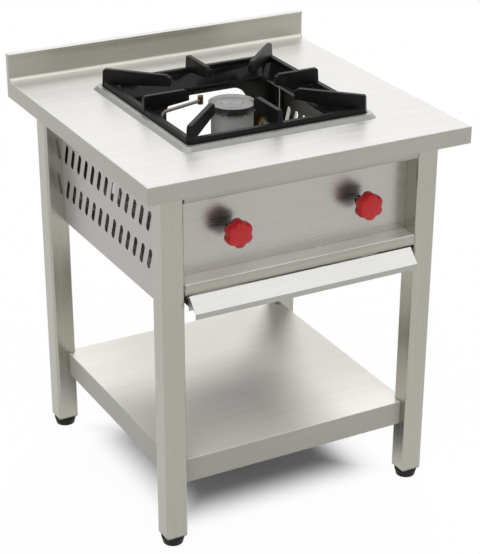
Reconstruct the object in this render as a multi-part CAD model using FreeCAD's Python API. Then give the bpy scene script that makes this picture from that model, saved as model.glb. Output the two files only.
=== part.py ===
import FreeCAD, Part
import math
import os

# Free-standing stock pot range in folded stainless sheet.
# Millimetres.  +X to the user's right, +Y to the back, +Z up.
# Origin: on the floor, under the middle of the worktop.

V = FreeCAD.Vector
X_AXIS = V(1, 0, 0)
Y_AXIS = V(0, 1, 0)
Z_AXIS = V(0, 0, 1)

# ---- overall sizes -------------------------------------------------------
WIDTH = 600.0              # worktop, left to right
DEPTH = 580.0              # worktop, front to back
TOP_Z = 690.0              # worktop surface above the floor
TOP_SHEET = 1.5            # worktop and leg sheet
PANEL_SHEET = 1.2          # panels, tray and trim sheet
SKIRT = 30.0               # worktop edge, top to bottom
SKIRT_HEM = 12.0           # inward return under the skirt
BACKSPLASH_RISE = 50.0
BACKSPLASH_DEPTH = 10.0
BACKSPLASH_RIM = 2.0       # bead along the top of the upstand, proud of its front
BACKSPLASH_RIM_H = 5.0

# ---- legs and feet -------------------------------------------------------
LEG = 40.0                 # square tube
LEG_RADIUS = 5.0
LEG_BOTTOM = 20.0
LEG_X = 241.0              # leg centres
LEG_Y_FRONT = -235.0
LEG_Y_REAR = 241.0
INSERT_FLANGE = 2.5
INSERT_DEPTH = 24.0
INSERT_FIT = 0.1           # gap round the insert inside the tube
FOOT_R_TOP = 21.0
FOOT_R_BASE = 17.5
FOOT_FLATS = 24
STEM_R = 4.9
STEM_CLEARANCE = 0.1
STEM_TOP = 58.0
FOOT_GAP = 0.3             # foot below its insert when screwed right in

# ---- body panels ---------------------------------------------------------
PANEL_RECESS = 32.0        # side panels behind the legs' outer faces
PANEL_BOTTOM = 428.0
PANEL_FLANGE = 15.0
END_FLANGE = 8.0           # front and rear, clear of the sliding tray
SLOT_PITCH = 28.5
SLOTS_PER_ROW = 15
SLOT_LENGTH = 40.0
SLOT_WIDTH = 12.0
SLOT_LEAN = 20.0           # degrees, tops towards the front
SLOT_ROWS_Z = (566.0, 498.0)
REAR_PANEL_Y = 253.0       # outer face
REAR_WINDOW_X = (-5.0, 165.0)
REAR_WINDOW_Z = (470.0, 620.0)
REAR_WINDOW_RADIUS = 30.0

FASCIA_Y = -220.0          # front face, recessed behind the legs
LEDGE_Z = 495.0            # top of the lower front rail
LEDGE_DROP = 18.0
UPPER_RAIL_BOTTOM = 635.0
STIFFENER_Y = 195.0
STIFFENER_WIDTH = 24.0
STIFFENER_DEPTH = 24.5

# ---- drip tray and runners -----------------------------------------------
TRAY_HALF = 206.0
TRAY_FLANGE_HALF = 216.0
TRAY_FLANGE_Z = 470.0      # underside of the side flanges, on the runners
TRAY_DEPTH = 25.0
TRAY_FRONT_Y = -253.0
TRAY_REAR_Y = 212.0
TRAY_TOP_Z = 475.0         # front edge, under the lower front rail
LIP_HALF = 213.5
LIP_OUT = 24.0
LIP_DROP = 25.0
LIP_HEM = 9.0
RUNNER_INNER_X = 208.0
RUNNER_GAP = 6.0

# ---- undershelf ----------------------------------------------------------
SHELF_HALF_X = 234.0
SHELF_HALF_Y = 236.0
SHELF_TOP = 157.0
SHELF_SKIRT = 45.0
SHELF_HEM = 10.0

# ---- cut-out, collar, bowl and pan support -------------------------------
CUTOUT_HALF = 164.0
CUTOUT_RADIUS = 22.0
COLLAR_HALF = 184.0        # where it meets the worktop
COLLAR_TOP_HALF = 179.0
COLLAR_RISE = 7.0
COLLAR_LIP_HALF = 162.8
COLLAR_LIP_BOTTOM = 684.0
BOWL_SHEET = 1.0
BOWL_FLANGE_HALF = 172.0
BOWL_MOUTH_HALF = 158.2
BOWL_FLOOR_HALF = 150.0
BOWL_FLOOR_Z = 672.0
BOWL_OPENING_HALF = 144.0
BOWL_OPENING_RADIUS = 16.0
BOWL_OPENING_LIP = 4.0

GRATE_Z = TOP_Z + COLLAR_RISE + BOWL_SHEET
GRATE_HALF = 170.0
GRATE_BAR = 12.0
GRATE_BAR_H = 8.0
GRATE_DRAFT = 1.5
GRATE_RADIUS = 9.0
RIB_H = 30.0
RIB_FOOT_W = 11.0
RIB_TOP_W = 8.0
RIB_INNER_STRAIGHT = 85.0  # inner ends of the four ribs square to the sides
RIB_INNER_CORNER = 112.0   # inner ends of the four corner ribs
RIB_INNER_H = 19.0

# ---- burner --------------------------------------------------------------
CAP_R = 41.5
CAP_RIM = 5.0
CAP_BOSS_R = 18.0
CAP_TOP = 692.0
CAP_SEAT = 680.0
BODY_R = 37.0
BODY_BORE_R = 33.3
CAP_SPIGOT_R = 33.0
BURNER_SHOULDER_Z = 594.0
NECK_R = 24.0
CHAMBER_R = 19.0
BURNER_BOTTOM = 546.0
RING_SEAT = 606.0
PORTS = 20
PORT_W = 3.0
PORT_H = 4.0
GAS_Z = 567.0              # height of taps, injector and mixing tube
TUBE_R = 16.0              # mixing tube where it enters the burner
TUBE_BORE_R = 13.5
SOCKET_R = 21.0
SOCKET_END_Y = -50.0
SOCKET_DEPTH = 20.0
MOUTH_R = 20.0
MOUTH_FRONT_Y = -120.0
MOUTH_REAR_Y = -101.0
MOUTH_FLANGE_R = 22.0
MOUTH_WALL = 2.0
SHUTTER_CLEARANCE = 0.1
SHUTTER_WALL = 1.2
SHUTTER_LENGTH = 14.0
AIR_WINDOW_ANGLE = 50.0    # degrees, three windows in the mouth and the shutter
AIR_WINDOW_LENGTH = 9.0
JET_R = 6.0

CRADLE_Z = 590.0
CRADLE_THICK = 4.0
CRADLE_WIDTH = 36.0
CRADLE_PAD = 40.0
CRADLE_HALF = 222.0
BRACKET_SHELF = 26.0
BRACKET_DROP = 28.0
BOLT_R = 3.0
BOLT_SPREAD = 10.0

# ---- gas supply ----------------------------------------------------------
KNOB_X = 124.0
PIPE_R = 10.65
PIPE_BORE_R = 8.0
MANIFOLD_Y = -190.0
MANIFOLD_Z = 545.0
MANIFOLD_LEFT = -150.0
SUPPLY_X = 200.0
ELBOW_R = 14.0
ELBOW_REACH = 22.0
ELBOW_SOCKET = 11.0
SUPPLY_END_Y = 246.0
INLET_HOLE_R = 13.0
CLIP_PLACES_Y = (-120.0, 160.0)
CLIP_WIDTH = 14.0
HOSE_TAIL_R = 6.5
HOSE_BORE_R = 4.0
HOSE_TAIL_END_Y = 288.0
HOSE_TAIL_START_Y = 262.0
VALVE_FLATS = 22.0
VALVE_FRONT_Y = -206.0
VALVE_REAR_Y = -168.0
VALVE_NECK_R = 8.0
VALVE_NECK = 7.0
VALVE_OUTLET = 12.0        # square outlet, its end behind the feed tube
VALVE_END_Y = -140.0
SPINDLE_R = 4.0
SPINDLE_CLEARANCE = 0.1
SPINDLE_FRONT_Y = -262.0
SPINDLE_REAR_Y = -186.0
FEED_R = 4.0
FEED_Y = -148.0
ELBOW_BLOCK = 14.0
PILOT_TUBE_R = 3.0
PILOT_BEND = 14.0
PILOT_UP_Y = 25.0
PILOT_RUN_Z = 684.0
PILOT_X = -36.0
PILOT_Y = 50.0
PILOT_HEAD_R = 5.0
PILOT_JET_R = 1.2

# ---- knobs ---------------------------------------------------------------
KNOB_R = 24.5
KNOB_WAIST_R = 21.2
KNOB_FACE_R = 15.0         # flat middle of the knob's front
KNOB_LOBES = 6
KNOB_FRONT_Y = -270.0
KNOB_DEPTH = 24.0
KNOB_HUB_R = 12.0
KNOB_HUB_END_Y = -237.0
FASCIA_HOLE_R = 7.0

# ---- derived places ------------------------------------------------------
UNDER_TOP = TOP_Z - TOP_SHEET
LEG_INNER_X = LEG_X - LEG / 2
LEG_OUTER_X = LEG_X + LEG / 2
FRONT_LEG_BACK = LEG_Y_FRONT + LEG / 2
FRONT_LEG_FRONT = LEG_Y_FRONT - LEG / 2
REAR_LEG_FRONT = LEG_Y_REAR - LEG / 2
PANEL_OUTER_X = LEG_OUTER_X - PANEL_RECESS
PANEL_INNER_X = PANEL_OUTER_X - PANEL_SHEET
PANEL_MID_Y = (FRONT_LEG_BACK + REAR_LEG_FRONT) / 2


# ---- helpers -------------------------------------------------------------
def slab(x0, x1, y0, y1, z0, z1):
    """Rectangular block between two corners."""
    return Part.makeBox(x1 - x0, y1 - y0, z1 - z0, V(x0, y0, z0))


def rod(radius, start, end):
    """Round bar between two points."""
    run = end - start
    return Part.makeCylinder(radius, run.Length, start, run)


def polygon_face(points):
    return Part.Face(Part.makePolygon(points + [points[0]]))


def turned(profile, centre, axis, across):
    """Solid of revolution: profile lists (radius, distance along the axis)."""
    points = [centre + across * r + axis * h for r, h in profile]
    return polygon_face(points).revolve(centre, axis, 360)


def hexagon(centre, across, up, flats, height):
    """Hexagonal prism: flats is its width between two faces, height a vector from its base."""
    reach = flats / 2 / math.cos(math.radians(30))
    corners = []
    for i in range(6):
        angle = math.radians(60 * i)
        corners.append(centre + across * (reach * math.cos(angle)) + up * (reach * math.sin(angle)))
    return polygon_face(corners).extrude(height)


def rounded_square(half, radius, z):
    """Square wire with round corners, at height z about the Z axis."""
    side = half - radius
    edges = []
    corners = []
    for sx, sy, turn in ((1, 1, 0), (-1, 1, 90), (-1, -1, 180), (1, -1, 270)):
        arc = []
        for step in (0, 45, 90):
            angle = math.radians(turn + step)
            arc.append(V(sx * side + radius * math.cos(angle), sy * side + radius * math.sin(angle), z))
        corners.append(arc)
    for i, arc in enumerate(corners):
        edges.append(Part.Arc(arc[0], arc[1], arc[2]).toShape())
        edges.append(Part.makeLine(arc[2], corners[(i + 1) % 4][0]))
    return Part.Wire(edges)


def many_sided(radius, sides, z):
    """Closed outline with many equal sides round the Z axis, its corners at the radius."""
    turns = [2 * math.pi * i / sides for i in range(sides + 1)]
    return Part.makePolygon([V(radius * math.cos(t), radius * math.sin(t), z) for t in turns])


def chamfered_square(half, chamfer, z_low, z_high):
    """Square plug with its upright edges cut off at 45 degrees."""
    near = half - chamfer
    corners = [(half, near), (near, half), (-near, half), (-half, near),
               (-half, -near), (-near, -half), (near, -half), (half, -near)]
    return polygon_face([V(x, y, z_low) for x, y in corners]).extrude(V(0, 0, z_high - z_low))


def square_block(half_low, half_high, radius, z_low, z_high):
    """Solid between two rounded squares."""
    wires = [rounded_square(half_low, radius, z_low), rounded_square(half_high, radius, z_high)]
    return Part.makeLoft(wires, True, True)


def folded(points, thickness, bend, to_space, length):
    """Bent sheet strip.

    points is the sheet's middle line in its cross-section, bend its middle-line
    bend radius; to_space turns a section point into space, and length is the
    vector along which the section runs.
    """
    flat = [V(a, b, 0) for a, b in points]
    starts, ends, arcs = [flat[0]], [], []
    for before, corner, after in zip(flat, flat[1:], flat[2:]):
        to_before = (before - corner).normalize()
        to_after = (after - corner).normalize()
        half_turn = (math.pi - to_before.getAngle(to_after)) / 2
        back = bend * math.tan(half_turn)
        centre = corner + (to_before + to_after).normalize() * (bend / math.cos(half_turn))
        ends.append(corner + to_before * back)
        starts.append(corner + to_after * back)
        arcs.append((centre, (corner - centre).normalize()))
    ends.append(flat[-1])

    def side(sign):
        chain = []
        for i, (a, b) in enumerate(zip(starts, ends)):
            along = (b - a).normalize()
            shift = V(-along.y, along.x, 0) * (sign * thickness / 2)
            chain.append((a + shift, b + shift))
        return chain

    def curve(line_a, line_b, centre, out):
        radius = (line_a[1] - centre).Length
        middle = centre + out * radius
        return [line_a[1], middle, line_b[0]]

    edges = []
    place = [side(1), side(-1)]
    for chain in place:
        for i, (a, b) in enumerate(chain):
            edges.append(Part.makeLine(to_space(a.x, a.y), to_space(b.x, b.y)))
            if i < len(arcs):
                spots = curve(chain[i], chain[i + 1], arcs[i][0], arcs[i][1])
                edges.append(Part.Arc(*[to_space(p.x, p.y) for p in spots]).toShape())
    for end in (0, -1):
        a = place[0][end][0 if end == 0 else 1]
        b = place[1][end][0 if end == 0 else 1]
        edges.append(Part.makeLine(to_space(a.x, a.y), to_space(b.x, b.y)))
    outline = Part.Wire(Part.__sortEdges__(edges))
    return Part.Face(outline).extrude(length)


def folded_along_x(points, thickness, bend, x0, x1):
    """Bent strip whose section is in (y, z)."""
    return folded(points, thickness, bend, lambda y, z: V(x0, y, z), V(x1 - x0, 0, 0))


def folded_along_y(points, thickness, bend, y0, y1):
    """Bent strip whose section is in (x, z)."""
    return folded(points, thickness, bend, lambda x, z: V(x, y0, z), V(0, y1 - y0, 0))


def bent_tube(points, radius, bend):
    """Round solid tube along straight runs joined by tangent arcs."""
    edges = []
    start = points[0]
    for before, corner, after in zip(points, points[1:], points[2:]):
        to_before = (before - corner).normalize()
        to_after = (after - corner).normalize()
        half_turn = (math.pi - to_before.getAngle(to_after)) / 2
        back = bend * math.tan(half_turn)
        arc_start = corner + to_before * back
        arc_end = corner + to_after * back
        centre = corner + (to_before + to_after).normalize() * (bend / math.cos(half_turn))
        middle = centre + (corner - centre).normalize() * bend
        edges.append(Part.makeLine(start, arc_start))
        edges.append(Part.Arc(arc_start, middle, arc_end).toShape())
        start = arc_end
    edges.append(Part.makeLine(start, points[-1]))
    path = Part.Wire(edges)
    section = Part.Wire(Part.makeCircle(radius, points[0], points[1] - points[0]))
    return path.makePipeShell([section], True, False)


def mirror_x(shape):
    return shape.mirror(V(0, 0, 0), X_AXIS)


def save(name, shape):
    shape = shape.removeSplitter()
    if not shape.isValid() or shape.Volume <= 0:
        raise ValueError(name + " is not a sound solid")
    shape.exportStep("parts/" + name + ".step")
    print("%-22s solids %d  volume %9.0f" % (name, len(shape.Solids), shape.Volume))


# ---- worktop group -------------------------------------------------------
def top_rounded_box(half_x, half_y, bottom, top, radius):
    """Block centred on the Z axis with its four upper edges rounded."""
    block = slab(-half_x, half_x, -half_y, half_y, bottom, top)
    return block.makeFillet(radius, [e for e in block.Edges if abs(e.CenterOfMass.z - top) < 0.01])


def make_worktop():
    """Tray-shaped folded top with a hemmed skirt and a square cut-out."""
    low = TOP_Z - SKIRT
    inner_x = WIDTH / 2 - TOP_SHEET
    inner_y = DEPTH / 2 - TOP_SHEET
    shell = top_rounded_box(WIDTH / 2, DEPTH / 2, low, TOP_Z, 2.5)
    shell = shell.cut(slab(-inner_x, inner_x, -inner_y, inner_y, low - 5, UNDER_TOP))
    hem = slab(-WIDTH / 2 + 1, WIDTH / 2 - 1, -DEPTH / 2 + 1, DEPTH / 2 - 1, low, low + TOP_SHEET)
    hem_x = WIDTH / 2 - SKIRT_HEM
    hem_y = DEPTH / 2 - SKIRT_HEM
    hem = hem.cut(slab(-hem_x, hem_x, -hem_y, hem_y, low - 1, low + 5))
    cutout = square_block(CUTOUT_HALF, CUTOUT_HALF, CUTOUT_RADIUS, UNDER_TOP - 5, TOP_Z + 5)
    return shell.fuse(hem).cut(cutout)


def make_backsplash():
    """Hollow folded upstand with a beaded top edge, open underneath."""
    rear = DEPTH / 2
    front = rear - BACKSPLASH_DEPTH
    top = TOP_Z + BACKSPLASH_RISE
    half = WIDTH / 2
    bead_low = top - BACKSPLASH_RIM_H
    outer = slab(-half, half, front, rear, TOP_Z, top)
    bead = slab(-half, half, front - BACKSPLASH_RIM, rear, bead_low, top)
    bead = bead.makeFillet(1.2, [e for e in bead.Edges if abs(e.CenterOfMass.y - front + BACKSPLASH_RIM) < 0.01])
    wall = PANEL_SHEET
    inner = slab(-half + wall, half - wall, front + wall, rear - wall, TOP_Z - 1, top - wall)
    return outer.fuse(bead).cut(inner)


def make_burner_collar():
    """Raised square rim with sloping outer sides and a lip down into the cut-out."""
    top = TOP_Z + COLLAR_RISE
    wall = PANEL_SHEET
    skin = square_block(COLLAR_HALF, COLLAR_TOP_HALF, 14, TOP_Z, top)
    core = square_block(COLLAR_HALF - wall, COLLAR_TOP_HALF - wall, 12.8, TOP_Z, top - wall)
    ring = skin.cut(core)
    lip = square_block(COLLAR_LIP_HALF, COLLAR_LIP_HALF, CUTOUT_RADIUS - wall, COLLAR_LIP_BOTTOM, top)
    inside = COLLAR_LIP_HALF - wall
    hole = square_block(inside, inside, CUTOUT_RADIUS - 2 * wall, COLLAR_LIP_BOTTOM - 1, top + 1)
    return ring.fuse(lip).cut(hole)


def make_spill_bowl():
    """Square pressed surround: flange, sloping sides and a narrow floor with a lipped opening."""
    top = TOP_Z + COLLAR_RISE
    face = top + BOWL_SHEET
    flange = square_block(BOWL_FLANGE_HALF, BOWL_FLANGE_HALF, 10, top, face)
    dish = square_block(BOWL_FLOOR_HALF, BOWL_MOUTH_HALF, 20, BOWL_FLOOR_Z, face)
    inner = square_block(BOWL_FLOOR_HALF - BOWL_SHEET, BOWL_MOUTH_HALF - BOWL_SHEET, 19,
                         BOWL_FLOOR_Z + BOWL_SHEET, face)
    low = BOWL_FLOOR_Z - BOWL_OPENING_LIP
    lip = square_block(BOWL_OPENING_HALF, BOWL_OPENING_HALF, BOWL_OPENING_RADIUS, low, BOWL_FLOOR_Z + BOWL_SHEET)
    clear = BOWL_OPENING_HALF - BOWL_SHEET
    opening = square_block(clear, clear, BOWL_OPENING_RADIUS - BOWL_SHEET, low - 5, BOWL_FLOOR_Z + 5)
    return flange.fuse([dish, lip]).cut(inner).cut(opening)


def grate_rib(outer, inner, angle):
    """One cast rib: flat top, near-upright outer end, underside rising inwards, tapered in thickness."""
    low = GRATE_Z
    high = GRATE_Z + RIB_H
    bar_inner = outer - GRATE_BAR
    side = [
        V(outer, 0, low), V(outer - 1.0, 0, high - 3), V(outer - 4.0, 0, high), V(inner + 7, 0, high),
        V(inner, 0, high - 5), V(inner, 0, high - RIB_INNER_H), V(bar_inner, 0, low + 3), V(bar_inner, 0, low),
    ]
    blade = polygon_face(side).extrude(V(0, RIB_FOOT_W, 0))
    blade.translate(V(0, -RIB_FOOT_W / 2, 0))
    foot = RIB_FOOT_W / 2
    crown = RIB_TOP_W / 2
    taper = [V(0, -foot, low), V(0, foot, low), V(0, crown, high), V(0, -crown, high)]
    blade = blade.common(polygon_face(taper).extrude(V(2 * outer, 0, 0)))
    blade.rotate(V(0, 0, 0), Z_AXIS, angle)
    return blade


def make_pan_support():
    """Cast-iron grate: low square ring with eight ribs that point at the flame."""
    top = GRATE_Z + GRATE_BAR_H
    ring = square_block(GRATE_HALF, GRATE_HALF - GRATE_DRAFT, GRATE_RADIUS, GRATE_Z, top)
    inside = GRATE_HALF - GRATE_BAR
    ring = ring.cut(square_block(inside, inside + GRATE_DRAFT, GRATE_RADIUS / 2, GRATE_Z, top))
    corner_end = (GRATE_HALF - GRATE_RADIUS) * math.sqrt(2) + GRATE_RADIUS
    ribs = []
    for quarter in range(4):
        ribs.append(grate_rib(GRATE_HALF, RIB_INNER_STRAIGHT, 90 * quarter))
        ribs.append(grate_rib(corner_end, RIB_INNER_CORNER, 90 * quarter + 45))
    return ring.fuse(ribs)


# ---- frame ---------------------------------------------------------------
def at_leg(shape, side, y):
    """Copy of a shape made on the Z axis, moved to one leg."""
    return shape.translated(V(side * LEG_X, y, 0))


def make_leg():
    """Square tube with round corners."""
    outer = square_block(LEG / 2, LEG / 2, LEG_RADIUS, LEG_BOTTOM, UNDER_TOP)
    inside = LEG / 2 - TOP_SHEET
    return outer.cut(square_block(inside, inside, LEG_RADIUS - TOP_SHEET, LEG_BOTTOM, UNDER_TOP))


def make_foot_insert():
    """Plug in the end of the tube, with a rim below it and a threaded bore."""
    inside = LEG / 2 - TOP_SHEET - INSERT_FIT
    plug = chamfered_square(inside, LEG_RADIUS - TOP_SHEET, LEG_BOTTOM, LEG_BOTTOM + INSERT_DEPTH)
    rim = chamfered_square(LEG / 2 - 0.5, LEG_RADIUS * 0.6, LEG_BOTTOM - INSERT_FLANGE, LEG_BOTTOM)
    bore = Part.makeCylinder(STEM_R + STEM_CLEARANCE, 60, V(0, 0, 0))
    return plug.fuse(rim).cut(bore)


def make_foot():
    """Tapered levelling foot, its rim cut in small grip flats, with its stem."""
    top = LEG_BOTTOM - INSERT_FLANGE - FOOT_GAP
    rings = [(FOOT_R_BASE, 0), (FOOT_R_TOP, top - 4), (FOOT_R_TOP - 3, top)]
    cup = Part.makeLoft([many_sided(radius, FOOT_FLATS, z) for radius, z in rings], True, True)
    return cup.fuse(Part.makeCylinder(STEM_R, STEM_TOP - top + 1, V(0, 0, top - 1)))


def make_undershelf():
    """Folded shelf: four hemmed skirts, corners notched round the legs."""
    low = SHELF_TOP - SHELF_SKIRT
    wall = TOP_SHEET
    x, y = SHELF_HALF_X, SHELF_HALF_Y
    outer = top_rounded_box(x, y, low, SHELF_TOP, 2.0)
    shelf = outer.cut(slab(-x + wall, x - wall, -y + wall, y - wall, low - 1, SHELF_TOP - wall))
    hem = slab(-x + 1, x - 1, -y + 1, y - 1, low, low + wall)
    hem = hem.cut(slab(-x + SHELF_HEM, x - SHELF_HEM, -y + SHELF_HEM, y - SHELF_HEM, low - 1, low + 5))
    shelf = shelf.fuse(hem)
    post = square_block(LEG / 2, LEG / 2, LEG_RADIUS, low - 5, SHELF_TOP + 5)
    for side in (-1, 1):
        for leg_y in (LEG_Y_FRONT, LEG_Y_REAR):
            shelf = shelf.cut(at_leg(post, side, leg_y))
            reach = V(side * (LEG_X + LEG / 2), leg_y + math.copysign(LEG / 2, leg_y), 0)
            corner = slab(min(side * LEG_X, reach.x), max(side * LEG_X, reach.x),
                          min(leg_y, reach.y), max(leg_y, reach.y), low - 5, SHELF_TOP + 5)
            shelf = shelf.cut(corner)
    return shelf


def make_upper_front_rail():
    """Channel between the front legs, under the worktop."""
    half = TOP_SHEET / 2
    front = FRONT_LEG_FRONT + half
    path = [
        (front + 30, UNDER_TOP - half), (front, UNDER_TOP - half),
        (front, UPPER_RAIL_BOTTOM + half), (front + 15, UPPER_RAIL_BOTTOM + half),
    ]
    return folded_along_x(path, TOP_SHEET, 1.75, -LEG_INNER_X, LEG_INNER_X)


def make_lower_front_rail():
    """Ledge below the fascia, with a drop at the front and behind."""
    half = TOP_SHEET / 2
    front = FRONT_LEG_FRONT + half
    back = FASCIA_Y + PANEL_SHEET + 1.5
    path = [
        (front, LEDGE_Z - LEDGE_DROP), (front, LEDGE_Z - half),
        (back, LEDGE_Z - half), (back, LEDGE_Z - 14),
    ]
    return folded_along_x(path, TOP_SHEET, 1.75, -LEG_INNER_X, LEG_INNER_X)


def make_top_stiffener():
    """Channel under the worktop, made at the rear."""
    half = TOP_SHEET / 2
    near = STIFFENER_Y - STIFFENER_WIDTH / 2 + half
    far = STIFFENER_Y + STIFFENER_WIDTH / 2 - half
    low = UNDER_TOP - STIFFENER_DEPTH + half
    path = [(near, UNDER_TOP), (near, low), (far, low), (far, UNDER_TOP)]
    reach = PANEL_OUTER_X - PANEL_FLANGE - 0.5
    return folded_along_x(path, TOP_SHEET, 1.75, -reach, reach)


# ---- panels --------------------------------------------------------------
def make_slot(y, z):
    """Leaning slot through a side panel, its ends bevelled to a blunt point."""
    reach = SLOT_LENGTH / 2
    side = SLOT_WIDTH / 2
    shoulder = reach - SLOT_WIDTH / 3
    blunt = side / 2.5
    x = PANEL_INNER_X - 5
    outline = [(side, -shoulder), (side, shoulder), (blunt, reach), (-blunt, reach),
               (-side, shoulder), (-side, -shoulder), (-blunt, -reach), (blunt, -reach)]
    slot = polygon_face([V(x, y + a, z + b) for a, b in outline]).extrude(V(PANEL_SHEET + 10, 0, 0))
    slot.rotate(V(x, y, z), X_AXIS, SLOT_LEAN)
    return slot


def make_side_panel():
    """Recessed right-hand panel: flanges top, bottom and ends, two rows of slots."""
    half = PANEL_SHEET / 2
    face = PANEL_OUTER_X - half
    inner = PANEL_OUTER_X - PANEL_FLANGE
    path = [
        (inner, UNDER_TOP - half), (face, UNDER_TOP - half),
        (face, PANEL_BOTTOM + half), (inner, PANEL_BOTTOM + half),
    ]
    panel = folded_along_y(path, PANEL_SHEET, 1.6, FRONT_LEG_BACK, REAR_LEG_FRONT)
    for y0 in (FRONT_LEG_BACK, REAR_LEG_FRONT - PANEL_SHEET):
        ear = slab(PANEL_OUTER_X - END_FLANGE, PANEL_INNER_X + half, y0, y0 + PANEL_SHEET,
                   PANEL_BOTTOM + 6, UNDER_TOP - 6)
        panel = panel.fuse(ear)
    slots = []
    first = PANEL_MID_Y - SLOT_PITCH * (SLOTS_PER_ROW - 1) / 2
    for z in SLOT_ROWS_Z:
        for i in range(SLOTS_PER_ROW):
            slots.append(make_slot(first + i * SLOT_PITCH, z))
    return panel.cut(slots)


def make_rear_panel():
    """Back between the rear legs, with the gas inlet hole and an open window beside it."""
    half = PANEL_SHEET / 2
    face = REAR_PANEL_Y - half
    path = [
        (face - PANEL_FLANGE, UNDER_TOP - half), (face, UNDER_TOP - half),
        (face, PANEL_BOTTOM + half), (face - PANEL_FLANGE, PANEL_BOTTOM + half),
    ]
    panel = folded_along_x(path, PANEL_SHEET, 1.6, -LEG_INNER_X, LEG_INNER_X)
    for x0 in (-LEG_INNER_X, LEG_INNER_X - PANEL_SHEET):
        panel = panel.fuse(slab(x0, x0 + PANEL_SHEET, face - 10, face, PANEL_BOTTOM + 6, UNDER_TOP - 6))
    hole = rod(INLET_HOLE_R, V(SUPPLY_X, face - 5, MANIFOLD_Z), V(SUPPLY_X, face + 5, MANIFOLD_Z))
    window = slab(*REAR_WINDOW_X, face - 5, face + 5, *REAR_WINDOW_Z)
    across = [e for e in window.Edges if abs(e.CenterOfMass.y - face) < 0.01]
    return panel.cut([hole, window.makeFillet(REAR_WINDOW_RADIUS, across)])


def make_fascia():
    """Recessed control panel standing on the ledge, with two spindle holes."""
    half = PANEL_SHEET / 2
    face = FASCIA_Y + half
    path = [(face, LEDGE_Z), (face, UNDER_TOP - half), (face + 10, UNDER_TOP - half)]
    panel = folded_along_x(path, PANEL_SHEET, 1.6, -LEG_INNER_X, LEG_INNER_X)
    for side in (-1, 1):
        x0, x1 = sorted((side * (PANEL_OUTER_X - PANEL_FLANGE - 1), side * LEG_INNER_X))
        panel = panel.cut(slab(x0, x1, face + half + 1.5, face + 12, UNDER_TOP - 2, UNDER_TOP))
    for x0 in (-LEG_INNER_X, LEG_INNER_X - PANEL_SHEET):
        panel = panel.fuse(slab(x0, x0 + PANEL_SHEET, face, face + 12, LEDGE_Z, UNDER_TOP - 6))
    for x in (-KNOB_X, KNOB_X):
        panel = panel.cut(rod(FASCIA_HOLE_R, V(x, face - 5, GAS_Z), V(x, face + 5, GAS_Z)))
    return panel


# ---- drip tray -----------------------------------------------------------
def make_tray_runner():
    """Channel on the right-hand panel that the tray flange slides in."""
    half = TOP_SHEET / 2
    web = PANEL_INNER_X - half
    low = TRAY_FLANGE_Z - half
    high = TRAY_FLANGE_Z + RUNNER_GAP + half
    path = [(RUNNER_INNER_X, low), (web, low), (web, high), (RUNNER_INNER_X, high)]
    return folded_along_y(path, TOP_SHEET, 1.75, FRONT_LEG_BACK + 4, REAR_LEG_FRONT - 4)


def make_drip_tray():
    """Shallow tray: flanged sides and back, front wall folded over into a sloping pull."""
    wall = PANEL_SHEET
    half = wall / 2
    floor = TRAY_FLANGE_Z + wall - TRAY_DEPTH
    pan = slab(-TRAY_HALF, TRAY_HALF, TRAY_FRONT_Y, TRAY_REAR_Y, floor, TRAY_FLANGE_Z + wall)
    pan = pan.cut(slab(-TRAY_HALF + wall, TRAY_HALF - wall, TRAY_FRONT_Y + wall, TRAY_REAR_Y - wall,
                       floor + wall, TRAY_FLANGE_Z + 10))
    pieces = []
    for side in (-1, 1):
        x0, x1 = sorted((side * (TRAY_HALF - half), side * TRAY_FLANGE_HALF))
        pieces.append(slab(x0, x1, TRAY_FRONT_Y + wall, TRAY_REAR_Y, TRAY_FLANGE_Z, TRAY_FLANGE_Z + wall))
    front = TRAY_FRONT_Y + half
    brow = (front, TRAY_TOP_Z - half)
    foot = (TRAY_FRONT_Y - LIP_OUT, TRAY_TOP_Z - LIP_DROP)
    path = [(front, floor + half), brow, foot, (foot[0], foot[1] - LIP_HEM)]
    pull = folded_along_x(path, wall, 1.0, -LIP_HALF, LIP_HALF)
    return pan.fuse(pieces + [pull])


# ---- burner --------------------------------------------------------------
def make_burner_cap():
    """Round cap: raised rim, dished top with a centre boss, spigot underneath."""
    top = CAP_TOP
    profile = [
        (0, CAP_SEAT - 7), (CAP_SPIGOT_R, CAP_SEAT - 7), (CAP_SPIGOT_R, CAP_SEAT), (CAP_R, CAP_SEAT),
        (CAP_R, top), (CAP_R - CAP_RIM, top), (CAP_R - CAP_RIM, top - 4), (CAP_BOSS_R, top - 4),
        (CAP_BOSS_R, top - 1.5), (0, top - 1.5),
    ]
    return turned(profile, V(0, 0, 0), Z_AXIS, X_AXIS)


def make_burner_base():
    """Cast base: shoulder on the cradle, mixing chamber and a side socket for the tube."""
    outline = [
        (0, BURNER_BOTTOM), (NECK_R, BURNER_BOTTOM), (NECK_R, BURNER_SHOULDER_Z),
        (BODY_R, BURNER_SHOULDER_Z), (BODY_R, RING_SEAT), (0, RING_SEAT),
    ]
    base = turned(outline, V(0, 0, 0), Z_AXIS, X_AXIS)
    socket_front = V(0, SOCKET_END_Y, GAS_Z)
    base = base.fuse(rod(SOCKET_R, socket_front, V(0, 0, GAS_Z)))
    floor = V(0, 0, BURNER_BOTTOM + 5)
    base = base.cut(Part.makeCylinder(CHAMBER_R, RING_SEAT - floor.z, floor))
    base = base.cut(rod(TUBE_BORE_R, socket_front, V(0, 0, GAS_Z)))
    return base.cut(rod(TUBE_R, socket_front, V(0, SOCKET_END_Y + SOCKET_DEPTH, GAS_Z)))


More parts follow.
